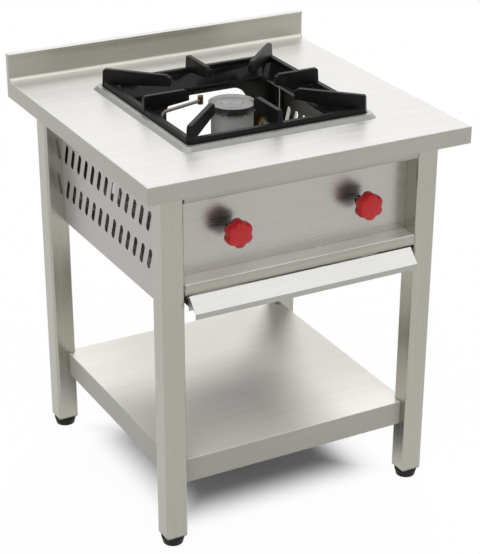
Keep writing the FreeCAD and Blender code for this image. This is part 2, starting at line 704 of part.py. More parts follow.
def make_burner_ring():
    """Upright ring on the base, with flame ports cut into its upper edge."""
    height = CAP_SEAT - RING_SEAT
    ring = Part.makeCylinder(BODY_R, height, V(0, 0, RING_SEAT))
    ring = ring.cut(Part.makeCylinder(BODY_BORE_R, height, V(0, 0, RING_SEAT)))
    ports = []
    for i in range(PORTS):
        port = slab(BODY_BORE_R - 4, BODY_R + 4, -PORT_W / 2, PORT_W / 2, CAP_SEAT - PORT_H, CAP_SEAT + 1)
        port.rotate(V(0, 0, 0), Z_AXIS, 360.0 * i / PORTS)
        ports.append(port)
    return ring.cut(ports)


def ring_sector(inner, outer, y0, y1, middle_angle, width_angle):
    """Part of a thick ring about the gas axis, for an air window."""
    ring = Part.makeCylinder(outer, y1 - y0, V(0, y0, GAS_Z), Y_AXIS, width_angle)
    ring = ring.cut(Part.makeCylinder(inner, y1 - y0, V(0, y0, GAS_Z), Y_AXIS))
    ring.rotate(V(0, y0, GAS_Z), Y_AXIS, middle_angle - width_angle / 2)
    return ring


def air_windows(inner, outer):
    middle = (MOUTH_FRONT_Y + MOUTH_WALL + MOUTH_REAR_Y) / 2
    y0 = middle - AIR_WINDOW_LENGTH / 2
    return [ring_sector(inner, outer, y0, y0 + AIR_WINDOW_LENGTH, 120 * i, AIR_WINDOW_ANGLE) for i in range(3)]


def make_mixing_tube():
    """Venturi: closed drum mouth with air windows, throat, then a widening tube."""
    front = MOUTH_FRONT_Y
    inside = front + MOUTH_WALL
    rear = SOCKET_END_Y + SOCKET_DEPTH
    drum_rear = MOUTH_REAR_Y + MOUTH_WALL
    profile = [
        (JET_R, front), (MOUTH_FLANGE_R, front), (MOUTH_FLANGE_R, inside), (MOUTH_R, inside),
        (MOUTH_R, drum_rear), (TUBE_R, drum_rear), (TUBE_R, rear), (TUBE_BORE_R, rear),
        (TUBE_BORE_R, MOUTH_REAR_Y), (MOUTH_R - MOUTH_WALL, MOUTH_REAR_Y), (MOUTH_R - MOUTH_WALL, inside),
        (JET_R, inside),
    ]
    tube = turned(profile, V(0, 0, GAS_Z), Y_AXIS, X_AXIS)
    return tube.cut(air_windows(MOUTH_R - 4, MOUTH_R + 1))


def make_air_shutter():
    """Sleeve with matching windows and a small finger tab."""
    inner = MOUTH_R + SHUTTER_CLEARANCE
    outer = inner + SHUTTER_WALL
    y0 = MOUTH_FRONT_Y + MOUTH_WALL
    profile = [(inner, y0), (outer, y0), (outer, y0 + SHUTTER_LENGTH), (inner, y0 + SHUTTER_LENGTH)]
    sleeve = turned(profile, V(0, 0, GAS_Z), Y_AXIS, X_AXIS)
    tab = slab(-4, 4, y0 + SHUTTER_LENGTH - 2, y0 + SHUTTER_LENGTH, GAS_Z - outer - 7, GAS_Z - outer + 0.4)
    return sleeve.cut(air_windows(inner - 1, outer + 1)).fuse(tab)


def make_injector():
    """Brass jet: inlet block, hexagon, shank through the mouth wall and a nozzle."""
    half = ELBOW_BLOCK / 2
    block = slab(-half, half, FEED_Y - half, FEED_Y + half, GAS_Z - half, GAS_Z + half)
    nut = hexagon(V(0, FEED_Y + half, GAS_Z), X_AXIS, Z_AXIS, 15, V(0, MOUTH_FRONT_Y - FEED_Y - half, 0))
    shank = rod(JET_R, V(0, MOUTH_FRONT_Y - 1, GAS_Z), V(0, MOUTH_FRONT_Y + 4, GAS_Z))
    nozzle = rod(JET_R / 2, V(0, MOUTH_FRONT_Y + 3, GAS_Z), V(0, MOUTH_FRONT_Y + 12, GAS_Z))
    return nut.fuse([block, shank, nozzle])


def make_burner_cradle():
    """Flat cross bar with an eight-sided pad under the burner shoulder."""
    top = CRADLE_Z + CRADLE_THICK
    bar = slab(-CRADLE_HALF, CRADLE_HALF, -CRADLE_WIDTH / 2, CRADLE_WIDTH / 2, CRADLE_Z, top)
    pad = chamfered_square(CRADLE_PAD, CRADLE_PAD / 2, CRADLE_Z, top)
    cradle = bar.fuse(pad).cut(Part.makeCylinder(NECK_R + 0.5, CRADLE_THICK, V(0, 0, CRADLE_Z)))
    for x, y in bolt_places():
        cradle = cradle.cut(Part.makeCylinder(BOLT_R, CRADLE_THICK, V(x, y, CRADLE_Z)))
    return cradle


def bolt_places():
    x = PANEL_INNER_X - BRACKET_SHELF / 2
    return [(side * x, end * BOLT_SPREAD) for side in (-1, 1) for end in (-1, 1)]


def make_cradle_bracket():
    """Angle on the right-hand panel that carries the end of the cradle."""
    half = 1.0
    web = PANEL_INNER_X - half
    shelf = CRADLE_Z - half
    path = [(web, CRADLE_Z - BRACKET_DROP), (web, shelf), (PANEL_INNER_X - BRACKET_SHELF, shelf)]
    angle = folded_along_y(path, 2 * half, 2.0, -CRADLE_WIDTH / 2 - 4, CRADLE_WIDTH / 2 + 4)
    for x, y in bolt_places():
        angle = angle.cut(Part.makeCylinder(BOLT_R, 10, V(x, y, CRADLE_Z - 5)))
    return angle


def make_cradle_bolts():
    """Four bolts with hexagon heads above and nuts below."""
    bolts = []
    for x, y in bolt_places():
        shank = Part.makeCylinder(BOLT_R, CRADLE_THICK + 4, V(x, y, CRADLE_Z - 3))
        head = hexagon(V(x, y, CRADLE_Z + CRADLE_THICK), X_AXIS, Y_AXIS, 10, V(0, 0, 4))
        nut = hexagon(V(x, y, CRADLE_Z - 2), X_AXIS, Y_AXIS, 10, V(0, 0, -4.5))
        bolts.append(shank.fuse([head, nut]))
    return Part.makeCompound(bolts)


# ---- gas supply ----------------------------------------------------------
def make_gas_manifold():
    """Pipe behind the fascia that feeds both taps."""
    start = V(MANIFOLD_LEFT, MANIFOLD_Y, MANIFOLD_Z)
    end = V(SUPPLY_X - ELBOW_SOCKET, MANIFOLD_Y, MANIFOLD_Z)
    return rod(PIPE_R, start, end).cut(rod(PIPE_BORE_R, start, end))


def make_manifold_plug():
    """Hexagon plug in the manifold's left end."""
    face = V(MANIFOLD_LEFT, MANIFOLD_Y, MANIFOLD_Z)
    head = hexagon(face, Y_AXIS, Z_AXIS, 21, V(-10, 0, 0))
    return head.fuse(rod(PIPE_BORE_R, face, face + V(10, 0, 0)))


def make_supply_elbow():
    """Square forged elbow joining the manifold to the supply pipe, which both enter it."""
    x, y, z = SUPPLY_X, MANIFOLD_Y, MANIFOLD_Z
    corner = V(x, y, z)
    left = corner - V(ELBOW_REACH, 0, 0)
    back = corner + V(0, ELBOW_REACH, 0)
    body = slab(left.x, x + ELBOW_R, y - ELBOW_R, y + ELBOW_R, z - ELBOW_R, z + ELBOW_R)
    body = body.fuse(slab(x - ELBOW_R, x + ELBOW_R, y, back.y, z - ELBOW_R, z + ELBOW_R)).removeSplitter()
    ways = [rod(PIPE_BORE_R, left, corner), rod(PIPE_BORE_R, corner - V(0, PIPE_BORE_R, 0), back),
            rod(PIPE_R, left, corner - V(ELBOW_SOCKET, 0, 0)), rod(PIPE_R, back, corner + V(0, ELBOW_SOCKET, 0))]
    return body.cut(ways)


def make_supply_pipe():
    """Pipe along the right side to the back."""
    start = V(SUPPLY_X, MANIFOLD_Y + ELBOW_SOCKET, MANIFOLD_Z)
    end = V(SUPPLY_X, SUPPLY_END_Y, MANIFOLD_Z)
    return rod(PIPE_R, start, end).cut(rod(PIPE_BORE_R, start, end))


def make_inlet_connector():
    """Hexagon socket on the pipe's end, neck through the back and a hose tail outside."""
    socket_front = V(SUPPLY_X, SUPPLY_END_Y - 14, MANIFOLD_Z)
    pipe_end = V(SUPPLY_X, SUPPLY_END_Y, MANIFOLD_Z)
    panel_face = V(SUPPLY_X, REAR_PANEL_Y - PANEL_SHEET, MANIFOLD_Z)
    tail_start = V(SUPPLY_X, HOSE_TAIL_START_Y, MANIFOLD_Z)
    tail_end = V(SUPPLY_X, HOSE_TAIL_END_Y, MANIFOLD_Z)
    socket = hexagon(socket_front, X_AXIS, Z_AXIS, 2 * ELBOW_R, panel_face - socket_front)
    body = socket.fuse([rod(INLET_HOLE_R - 1, panel_face, tail_start), rod(HOSE_TAIL_R, tail_start, tail_end)])
    return body.cut([rod(PIPE_R, socket_front, pipe_end), rod(HOSE_BORE_R, pipe_end, tail_end)])


def make_pipe_clips():
    """Two saddle blocks from the right-hand panel round the supply pipe."""
    clips = []
    for y in CLIP_PLACES_Y:
        centre = V(SUPPLY_X, y, MANIFOLD_Z)
        grip = slab(SUPPLY_X - PIPE_R - 2, PANEL_INNER_X, y, y + CLIP_WIDTH, MANIFOLD_Z - 13, MANIFOLD_Z + 13)
        foot = slab(PANEL_INNER_X - 2, PANEL_INNER_X, y, y + CLIP_WIDTH, MANIFOLD_Z - 20, MANIFOLD_Z + 20)
        clips.append(grip.fuse(foot).cut(rod(PIPE_R, centre, centre + V(0, CLIP_WIDTH, 0))))
    return Part.makeCompound(clips)


def make_valve(x):
    """Gas tap: hexagon body, round neck, square outlet and a saddle block on the manifold."""
    hex_start = V(x, VALVE_FRONT_Y, GAS_Z)
    body = hexagon(hex_start, X_AXIS, Z_AXIS, VALVE_FLATS, V(0, VALVE_REAR_Y - VALVE_FRONT_Y, 0))
    neck = rod(VALVE_NECK_R, hex_start - V(0, VALVE_NECK, 0), hex_start)
    outlet = VALVE_OUTLET / 2
    nose = slab(x - outlet, x + outlet, VALVE_REAR_Y, VALVE_END_Y, GAS_Z - outlet, GAS_Z + outlet)
    saddle = slab(x - 11, x + 11, MANIFOLD_Y - 14, MANIFOLD_Y + 14, MANIFOLD_Z - 6, GAS_Z - VALVE_FLATS / 2)
    boss = slab(x - 8, x + 8, MANIFOLD_Y - 8, MANIFOLD_Y + 8, MANIFOLD_Z, GAS_Z)
    bore = rod(SPINDLE_R + SPINDLE_CLEARANCE, hex_start - V(0, VALVE_NECK + 1, 0), V(x, SPINDLE_REAR_Y, GAS_Z))
    pipe = rod(PIPE_R, V(x - 30, MANIFOLD_Y, MANIFOLD_Z), V(x + 30, MANIFOLD_Y, MANIFOLD_Z))
    return body.fuse([neck, nose, saddle, boss]).cut([bore, pipe])


def make_feed_tube():
    """Straight tube from the side of the main tap's outlet to the injector block."""
    start = V(KNOB_X - VALVE_OUTLET / 2, FEED_Y, GAS_Z)
    return rod(FEED_R, start, V(ELBOW_BLOCK / 2, FEED_Y, GAS_Z))


def make_pilot_tube():
    """Tube from the pilot tap, under the cradle, up through the bowl and across to the burner."""
    points = [
        V(-KNOB_X, VALVE_END_Y, GAS_Z), V(-KNOB_X, PILOT_UP_Y, GAS_Z),
        V(-KNOB_X, PILOT_UP_Y, PILOT_RUN_Z), V(PILOT_X, PILOT_Y, PILOT_RUN_Z),
    ]
    tube = bent_tube(points, PILOT_TUBE_R, PILOT_BEND)
    return tube.cut(rod(PILOT_HEAD_R, V(PILOT_X, PILOT_Y, PILOT_RUN_Z - 8), V(PILOT_X, PILOT_Y, PILOT_RUN_Z + 8)))


def make_pilot_burner():
    """Small brass nozzle beside the burner."""
    head = Part.makeCylinder(PILOT_HEAD_R, 15, V(PILOT_X, PILOT_Y, PILOT_RUN_Z - 6))
    return head.cut(Part.makeCylinder(PILOT_JET_R, 7, V(PILOT_X, PILOT_Y, PILOT_RUN_Z + 3)))


# ---- knobs ---------------------------------------------------------------
def make_spindle(x):
    """Tap spindle with a flat for the knob."""
    shaft = rod(SPINDLE_R, V(x, SPINDLE_FRONT_Y, GAS_Z), V(x, SPINDLE_REAR_Y, GAS_Z))
    flat = slab(x - 5, x + 5, SPINDLE_FRONT_Y - 1, KNOB_HUB_END_Y - 2, GAS_Z + 2.8, GAS_Z + 6)
    return shaft.cut(flat)


def make_knob(x):
    """Six-lobed hand knob with a domed face and a hub."""
    centre = V(x, 0, GAS_Z)
    lobe_step = math.radians(360 / KNOB_LOBES)
    edges = []
    for i in range(KNOB_LOBES):
        middle = lobe_step * i + math.radians(90)
        spots = []
        for angle, radius in ((-0.5, KNOB_WAIST_R), (-0.2, KNOB_R - 1.2), (0, KNOB_R), (0.2, KNOB_R - 1.2),
                              (0.5, KNOB_WAIST_R)):
            a = middle + angle * lobe_step
            spots.append(V(x + radius * math.cos(a), KNOB_FRONT_Y, GAS_Z + radius * math.sin(a)))
        edges.append(Part.makeLine(spots[0], spots[1]))
        edges.append(Part.Arc(spots[1], spots[2], spots[3]).toShape())
        edges.append(Part.makeLine(spots[3], spots[4]))
    star = Part.Face(Part.Wire(edges)).extrude(V(0, KNOB_DEPTH, 0))
    front = KNOB_FRONT_Y
    back = KNOB_FRONT_Y + KNOB_DEPTH
    dome = [(0, front), (KNOB_FACE_R, front), (KNOB_R + 1, front + 7), (KNOB_R + 1, back), (0, back)]
    head = star.common(turned(dome, centre, Y_AXIS, X_AXIS))
    hub = rod(KNOB_HUB_R, V(x, back - 1, GAS_Z), V(x, KNOB_HUB_END_Y, GAS_Z))
    return head.fuse(hub).cut(make_spindle(x))


# ---- build ---------------------------------------------------------------
def main():
    os.makedirs("parts", exist_ok=True)
    save("worktop", make_worktop())
    save("backsplash", make_backsplash())
    save("burner_collar", make_burner_collar())
    save("spill_bowl", make_spill_bowl())
    save("pan_support", make_pan_support())

    leg, insert, foot = make_leg(), make_foot_insert(), make_foot()
    for end, y in (("front", LEG_Y_FRONT), ("rear", LEG_Y_REAR)):
        for side_name, side in (("left", -1), ("right", 1)):
            save("leg_%s_%s" % (end, side_name), at_leg(leg, side, y))
            save("foot_insert_%s_%s" % (end, side_name), at_leg(insert, side, y))
            save("foot_%s_%s" % (end, side_name), at_leg(foot, side, y))
    save("undershelf", make_undershelf())
    save("upper_front_rail", make_upper_front_rail())
    save("lower_front_rail", make_lower_front_rail())
    stiffener = make_top_stiffener()
    save("top_stiffener_rear", stiffener)
    save("top_stiffener_front", stiffener.mirror(V(0, 0, 0), Y_AXIS))

    handed = (("side_panel", make_side_panel()), ("tray_runner", make_tray_runner()),
              ("cradle_bracket", make_cradle_bracket()))
    for name, right in handed:
        save(name + "_right", right)
        save(name + "_left", mirror_x(right))
    save("rear_panel", make_rear_panel())
    save("fascia", make_fascia())
    save("drip_tray", make_drip_tray())

    save("burner_base", make_burner_base())
    save("burner_ring", make_burner_ring())
    save("burner_cap", make_burner_cap())
    save("mixing_tube", make_mixing_tube())
    save("air_shutter", make_air_shutter())
    save("injector", make_injector())
    save("burner_cradle", make_burner_cradle())
    save("cradle_bolts", make_cradle_bolts())

    save("gas_manifold", make_gas_manifold())
    save("manifold_plug", make_manifold_plug())
    save("supply_elbow", make_supply_elbow())
    save("supply_pipe", make_supply_pipe())
    save("inlet_connector", make_inlet_connector())
    save("pipe_clips", make_pipe_clips())
    save("feed_tube", make_feed_tube())
    save("pilot_tube", make_pilot_tube())
    save("pilot_burner", make_pilot_burner())
    for name, x in (("pilot", -KNOB_X), ("main", KNOB_X)):
        save("valve_" + name, make_valve(x))
        save("spindle_" + name, make_spindle(x))
        save("knob_" + name, make_knob(x))


main()
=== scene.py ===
"""Finishes, turned and moulded pieces, and a plain studio for a stock pot range."""
import math

import bmesh
import bpy
import numpy as np
from bpy.props import FloatProperty, FloatVectorProperty, IntProperty, PointerProperty
from bpy.types import Operator, Panel, PropertyGroup
from mathutils import Matrix, Vector


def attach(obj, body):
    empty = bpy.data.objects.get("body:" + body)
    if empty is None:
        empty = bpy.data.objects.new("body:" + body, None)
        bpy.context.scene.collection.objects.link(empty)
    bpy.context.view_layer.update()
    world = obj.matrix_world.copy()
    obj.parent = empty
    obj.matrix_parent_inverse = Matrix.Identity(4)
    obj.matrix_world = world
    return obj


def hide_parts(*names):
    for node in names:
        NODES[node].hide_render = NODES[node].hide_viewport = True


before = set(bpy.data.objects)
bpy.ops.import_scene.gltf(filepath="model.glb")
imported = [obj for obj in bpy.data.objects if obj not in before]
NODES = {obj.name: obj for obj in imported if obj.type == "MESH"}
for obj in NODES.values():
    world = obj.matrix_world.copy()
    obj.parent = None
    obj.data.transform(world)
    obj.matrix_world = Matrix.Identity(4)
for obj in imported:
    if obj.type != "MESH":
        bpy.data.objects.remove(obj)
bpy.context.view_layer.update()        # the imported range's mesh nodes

bl_info = {
    "name": "Stock Pot Range Finisher",
    "version": (1, 0, 0),
    "blender": (4, 5, 0),
    "location": "View3D > Sidebar > Pot Range",
    "description": "Dresses a stock pot range in satin steel, iron, enamel, brass and red knobs",
    "category": "Object",
}

MM = 0.001
CORNER_STEPS = 4         # pieces of the curve at a softened corner

# places in the range's frame, in mm
LEG_PLACES = [("%s_%s" % (end, side), x, y) for end, y in (("front", -235.0), ("rear", 241.0))
              for side, x in (("left", -241.0), ("right", 241.0))]
KNOB_X, KNOB_Z = 124.0, 567.0
INLET_X, INLET_Z = 200.0, 545.0
WORKTOP_Z = 690.0
COVE_FRONT_Y, COVE_RADIUS, COVE_END_X = 274.0, 6.0, 299.0
BACK_FACE_Y = 253.0
SIDE_WEB_X, BACK_WEB_Y, FASCIA_WEB_Y = 228.6, 252.6, 219.4    # between a panel's two faces

# colours that belong to one spot, among them painted light and painted shade
# painted light and shade: the rim's level faces lighter, its sloped sides darker, as lit and shaded
# copies of one steel
LIT_RIM_LEVEL, SHADED_RIM_UPRIGHT = (0.56, 0.55, 0.52), (0.30, 0.30, 0.28)
# painted light: the rails' level ledge is near white, as if lit from above
LIT_RAIL_LEDGE = (0.95, 0.94, 0.91)
# painted shade: the drip tray's upright faces are much darker than its near-white level faces
SHADED_TRAY_UPRIGHT = (0.40, 0.40, 0.37)
COVE = (0.88, 0.87, 0.80)
# painted shade for faces that look down
UNDERSIDE_SHADE = (0.16, 0.16, 0.15)
DULLED_IRON = (0.022, 0.019, 0.017)
HEAT_BROWN = (0.42, 0.30, 0.19)
RING_ALLOY, BASE_ALLOY = (0.78, 0.78, 0.77), (0.70, 0.71, 0.70)
# painted shade: near black for the knobs' hollow backs, which lie in shade
KNOB_BACK_SHADE = (0.012, 0.010, 0.008)
SCREW = (0.55, 0.55, 0.55)
FLOOR = (0.82, 0.82, 0.84, 1.0)
WHITE = (1.0, 1.0, 1.0, 1.0)

# each lamp's name, the way that it shines and its spread in degrees
LAMPS = (("key", (-0.58, -0.84, -1.0), 18.0), ("top", (0.2, 0.42, -1.0), 34.0),
         ("fill", (0.7, 0.8, -0.7), 90.0))


# ---- surfaces ---------------------------------------------------------------
def round_grid(rows, columns):
    """Quads of a grid whose columns run all the way round.

    The face of row i and column j joins (i, j), (i, j+1), (i+1, j+1) and (i+1, j), and the column
    after the last is the first again.
    """
    i, j = np.meshgrid(np.arange(rows - 1), np.arange(columns), indexing="ij")
    k = (j + 1) % columns
    corners = (i * columns + j, i * columns + k, (i + 1) * columns + k, (i + 1) * columns + j)
    return np.stack(corners, axis=-1).reshape(-1, 4)


def softened(corners, cut):
    """Profile with its corners rounded.

    Each corner P becomes the curve (1-t)^2 A + 2t(1-t) P + t^2 B, where A and B lie the cut away
    from P on its two sides, or 45 % of a shorter side.
    """
    corners = np.asarray(corners, dtype=float)
    middle = corners[1:-1]
    back, ahead = corners[:-2] - middle, corners[2:] - middle
    back_length = np.linalg.norm(back, axis=1, keepdims=True)
    ahead_length = np.linalg.norm(ahead, axis=1, keepdims=True)
    reach = np.minimum(cut, 0.45 * np.minimum(back_length, ahead_length))
    start = middle + back / back_length * reach
    end = middle + ahead / ahead_length * reach
    t = np.linspace(0, 1, CORNER_STEPS + 1)[None, :, None]
    curves = ((1 - t) ** 2 * start[:, None] + 2 * t * (1 - t) * middle[:, None]
              + t ** 2 * end[:, None])
    return np.vstack([corners[:1], curves.reshape(-1, 2), corners[-1:]])


def revolved(profile, columns, centre, axis, swell=None):
    """Points of a turned surface, in metres.

    Point (i, j) = centre + height_i * along + radius_i * swell_ij * (cos a_j * side + sin a_j *
    other), with a_j going once round; swell is 1 unless an outline such as lobes is given.
    """
    profile = np.asarray(profile, dtype=float)
    angle = np.linspace(0, 2 * math.pi, columns, endpoint=False)
    side, other, along = {
        "Z": ((1, 0, 0), (0, 1, 0), (0, 0, 1)),
        "Y": ((1, 0, 0), (0, 0, 1), (0, 1, 0)),
    }[axis]
    reach = profile[:, 0:1] * (np.ones((1, columns)) if swell is None else swell)
    points = (np.asarray(centre, dtype=float)[None, None]
              + profile[:, 1][:, None, None] * np.asarray(along)[None, None]
              + (reach * np.cos(angle))[..., None] * np.asarray(side)[None, None]
              + (reach * np.sin(angle))[..., None] * np.asarray(other)[None, None])
    return points.reshape(-1, 3) * MM, round_grid(len(profile), columns)


def new_piece(name, parts, sharp_degrees=32.0):
    """Mesh object at the origin from one or more (points, faces) pairs.

    Doubles are merged, which closes poles and seams, faces are turned outwards, and shading is
    smooth except along edges sharper than the angle.
    """
    points, faces, start = [], [], 0
    for part_points, part_faces in parts:
        points.append(part_points)
        faces.append(part_faces + start)
        start += len(part_points)
    mesh = bpy.data.meshes.new(name)
    mesh.from_pydata(np.vstack(points).tolist(), [], np.vstack(faces).tolist())
    shell = bmesh.new()
    shell.from_mesh(mesh)
    bmesh.ops.remove_doubles(shell, verts=shell.verts, dist=2e-6)
    bmesh.ops.dissolve_degenerate(shell, dist=1e-7, edges=shell.edges)
    bmesh.ops.recalc_face_normals(shell, faces=shell.faces)
    shell.to_mesh(mesh)
    shell.free()
    mesh.shade_smooth()
    mesh.set_sharp_from_angle(angle=math.radians(sharp_degrees))
    piece = bpy.data.objects.new(name, mesh)
    bpy.context.scene.collection.objects.link(piece)
    return piece


def dress(thing, material):
    """Gives the finish to a CAD node, by name, or to a new piece."""
    piece = NODES[thing] if isinstance(thing, str) else thing
    slots = piece.data.materials
    if not slots:
        slots.append(material)
    for index in range(len(slots)):
        slots[index] = material


# ---- finishes ---------------------------------------------------------------
def opaque(colour):
    """Colour with its fourth value, as a socket takes it; an output stays as it is."""
    if isinstance(colour, bpy.types.NodeSocket) or len(colour) == 4:
        return colour
    return (*colour, 1.0)


class Nodes:
    """Nodes of one tree; apart from add, each method returns the socket of its result."""

    def __init__(self, tree):
        self.tree = tree

    def add(self, kind, inputs=(), **settings):
        """One node, its inputs given as (socket, value or output) pairs."""
        node = self.tree.nodes.new(kind)
        row, column = divmod(len(self.tree.nodes), 9)
        node.location = (-200 * column - 200, 260 - 170 * row)
        for setting, value in settings.items():
            setattr(node, setting, value)
        for socket, value in inputs:
            if isinstance(value, bpy.types.NodeSocket):
                self.tree.links.new(value, node.inputs[socket])
            else:
                node.inputs[socket].default_value = value
        return node

    def math(self, operation, *values):
        return self.add("ShaderNodeMath", enumerate(values), operation=operation).outputs[0]

    def ranged(self, value, from_low, from_high, to_low=0.0, to_high=1.0, smooth=False):
        """Value carried from one range to another, held at the ends."""
        inputs = [("Value", value), ("From Min", from_low), ("From Max", from_high),
                  ("To Min", to_low), ("To Max", to_high)]
        kind = "SMOOTHSTEP" if smooth else "LINEAR"
        return self.add("ShaderNodeMapRange", inputs, interpolation_type=kind).outputs["Result"]

    def spread(self, noise, low, high):
        """Noise, most of which lies between 0.3 and 0.7, spread from low to high."""
        return self.ranged(noise, 0.3, 0.7, low, high)

    def part(self, axis, vector):
        """One component of a vector."""
        return self.add("ShaderNodeSeparateXYZ", [("Vector", vector)]).outputs[axis]

    def seen_directly(self):
        """1 for rays from the camera, a mirror or clear glass, 0 for those that only carry light."""
        rays = self.add("ShaderNodeLightPath").outputs
        seen = self.math("MAXIMUM", rays["Is Camera Ray"], rays["Is Glossy Ray"])
        return self.math("MAXIMUM", seen, rays["Is Transmission Ray"])

    def mixed(self, share, first, second):
        """Shader between two shaders."""
        inputs = [("Fac", share), (1, first.outputs[0]), (2, second.outputs[0])]
        return self.add("ShaderNodeMixShader", inputs).outputs[0]


class Finish(Nodes):
    """A material under construction."""

    def __init__(self, name, colour, roughness, metallic=0.0, **sockets):
        self.material = bpy.data.materials.new(name)
        self.material.use_nodes = True
        super().__init__(self.material.node_tree)
        self.shader = self.tree.nodes["Principled BSDF"]
        self.shader.inputs["Base Color"].default_value = opaque(colour)
        sockets.update(Roughness=roughness, Metallic=metallic)
        for socket, value in sockets.items():
            self.shader.inputs[socket.replace("_", " ")].default_value = value
        self.place = self.add("ShaderNodeTexCoord").outputs["Object"]

    def stretched(self, scale):
        """Object coordinates times a scale for each axis."""
        inputs = [("Vector", self.place), ("Scale", scale)]
        return self.add("ShaderNodeMapping", inputs).outputs["Vector"]

    def from_middle(self):
        """Distance from the upright line through the burner's middle."""
        node = self.add("ShaderNodeVectorMath", [(0, self.stretched((1, 1, 0)))], operation="LENGTH")
        return node.outputs["Value"]

    def noise(self, per_metre, detail=2.0, vector=None):
        inputs = [("Vector", vector or self.place), ("Scale", per_metre), ("Detail", detail)]
        return self.add("ShaderNodeTexNoise", inputs).outputs["Fac"]

    def cells(self, per_metre, output="Distance"):
        inputs = [("Vector", self.place), ("Scale", per_metre)]
        return self.add("ShaderNodeTexVoronoi", inputs).outputs[output]

    def blend(self, factor, first, second):
        """Colour between two colours."""
        inputs = [(0, factor), (6, opaque(first)), (7, opaque(second))]
        return self.add("ShaderNodeMix", inputs, data_type="RGBA").outputs[2]

    def shaded(self, colour, brightness):
        """Colour times a brightness."""
        inputs = [("Color", opaque(colour)), ("Value", brightness)]
        return self.add("ShaderNodeHueSaturation", inputs).outputs["Color"]

    def upward(self):
        """1 on faces that look up, 0 on upright ones and -1 on those that look down."""
        return self.part("Z", self.add("ShaderNodeNewGeometry").outputs["Normal"])

    def levelness(self):
        """1 on level faces, 0 on upright ones."""
        return self.ranged(self.math("ABSOLUTE", self.upward()), 0.45, 0.8)

    def rounding(self, radius):
        """Normal that rolls over the edges by the radius."""
        return self.add("ShaderNodeBevel", [("Radius", radius)], samples=6).outputs["Normal"]

    def edges(self, rolled):
        """1 where the rolled normal leaves the face's own, so along edges; 0 elsewhere."""
        flat = self.add("ShaderNodeNewGeometry").outputs["Normal"]
        dot = self.add("ShaderNodeVectorMath", [(0, rolled), (1, flat)], operation="DOT_PRODUCT")
        return self.ranged(dot.outputs["Value"], 0.995, 0.85)

    def relief(self, height, depth, normal):
        """Bump on a normal, of a height from 0 to 1 and with its depth in metres."""
        inputs = [("Height", height), ("Distance", depth), ("Strength", 1.0), ("Normal", normal)]
        return self.add("ShaderNodeBump", inputs).outputs["Normal"]

    def done(self, colour, roughness, normal):
        """The material, with these three joined to its shader."""
        for socket, value in (("Base Color", colour), ("Roughness", roughness), ("Normal", normal)):
            self.tree.links.new(value, self.shader.inputs[socket])
        return self.material


def satin_steel(name, steel, lit_level_colour, shaded_upright_colour, duller=0.0, lines=1.0, runs_up=False,
                edge=1.0, shade_and_stain=None, metallic=0.6):
    """Satin stainless sheet, with the roughness and hairlines of the steel's values.

    Hairlines run along the sheet, or up it, with broader streaks and soft clouds over them; they
    vary the colour by about a tenth and the roughness by up to 0.08. The sheet is slightly wavy,
    and its edges are rounded, by edge in mm, and a little brighter. duller is added to the
    roughness, and lines scales the hairlines' depth. Metallic below 1 makes it more matt, as
    brushing does. Level faces take the level colour and upright faces the upright colour, mostly
    darker: painted light and shade, lit and shaded copies of one steel. An optional list maker
    gives (mask, tint) pairs, each tint going where its mask is 1; they carry real stains and
    painted shade.
    """
    roughness = steel.roughness + duller
    f = Finish(name, lit_level_colour, roughness, metallic=metallic)
    level = f.levelness()

    def streaks(per_metre, detail):
        if runs_up:
            return f.noise(per_metre, detail, f.stretched((1, 1, 0.012)))
        upright = f.noise(per_metre, detail, f.stretched((0.012, 0.012, 1)))
        flat = f.noise(per_metre, detail, f.stretched((0.012, 1, 0.012)))
        return f.math("ADD", f.math("MULTIPLY", flat, level),
                      f.math("MULTIPLY", upright, f.math("SUBTRACT", 1.0, level)))

    fine = streaks(900.0, 3.0)
    broad = streaks(170.0, 2.0)
    clouds = f.noise(5.0, 3.0)
    rolled = f.rounding(edge * MM)
    value = f.math("ADD", f.ranged(fine, 0.25, 0.75, 0.95, 1.03), f.spread(broad, -0.03, 0.03))
    value = f.math("ADD", value, f.spread(clouds, -0.03, 0.03))
    value = f.math("ADD", value, f.math("MULTIPLY", f.edges(rolled), 0.12))
    # painted light and shade: lit colour on level faces, darker shaded colour on upright ones
    colour = f.blend(level, shaded_upright_colour, lit_level_colour)
    # real stains and painted shade from the given masks go on here
    for mask, tint in shade_and_stain(f) if shade_and_stain else ():
        colour = f.blend(mask, colour, tint)
    rough = f.math("ADD", f.spread(broad, roughness - 0.05, roughness + 0.05),
                   f.spread(clouds, -0.03, 0.03))
    waves = f.relief(f.noise(7.0, 1.0), 0.5 * MM, rolled)
    return f.done(f.shaded(colour, value), rough, f.relief(fine, lines * steel.hairline, waves))


def cast_iron(name, colour, pebble):
    """Black-coated casting: pebbled skin, greyer worn edges and a heat-dulled middle."""
    f = Finish(name, colour, 0.4, Specular_IOR_Level=0.15)
    rolled = f.rounding(1.6 * MM)
    skin = f.noise(620.0, 3.0)
    lumps = f.noise(70.0, 2.0)
    dulled = f.math("MULTIPLY", f.ranged(f.from_middle(), 150 * MM, 80 * MM, smooth=True),
                    f.ranged(lumps, 0.35, 0.65, 0.3, 1.0))
    colour = f.blend(dulled, colour, DULLED_IRON)
    value = f.math("ADD", f.spread(lumps, 0.8, 1.2),
                   f.math("MULTIPLY", f.edges(rolled), 0.9))
    rough = f.math("ADD", f.spread(skin, 0.28, 0.42), f.math("MULTIPLY", dulled, 0.15))
    bumps = f.relief(skin, pebble, f.relief(lumps, 3 * pebble, rolled))
    return f.done(f.shaded(colour, value), rough, bumps)


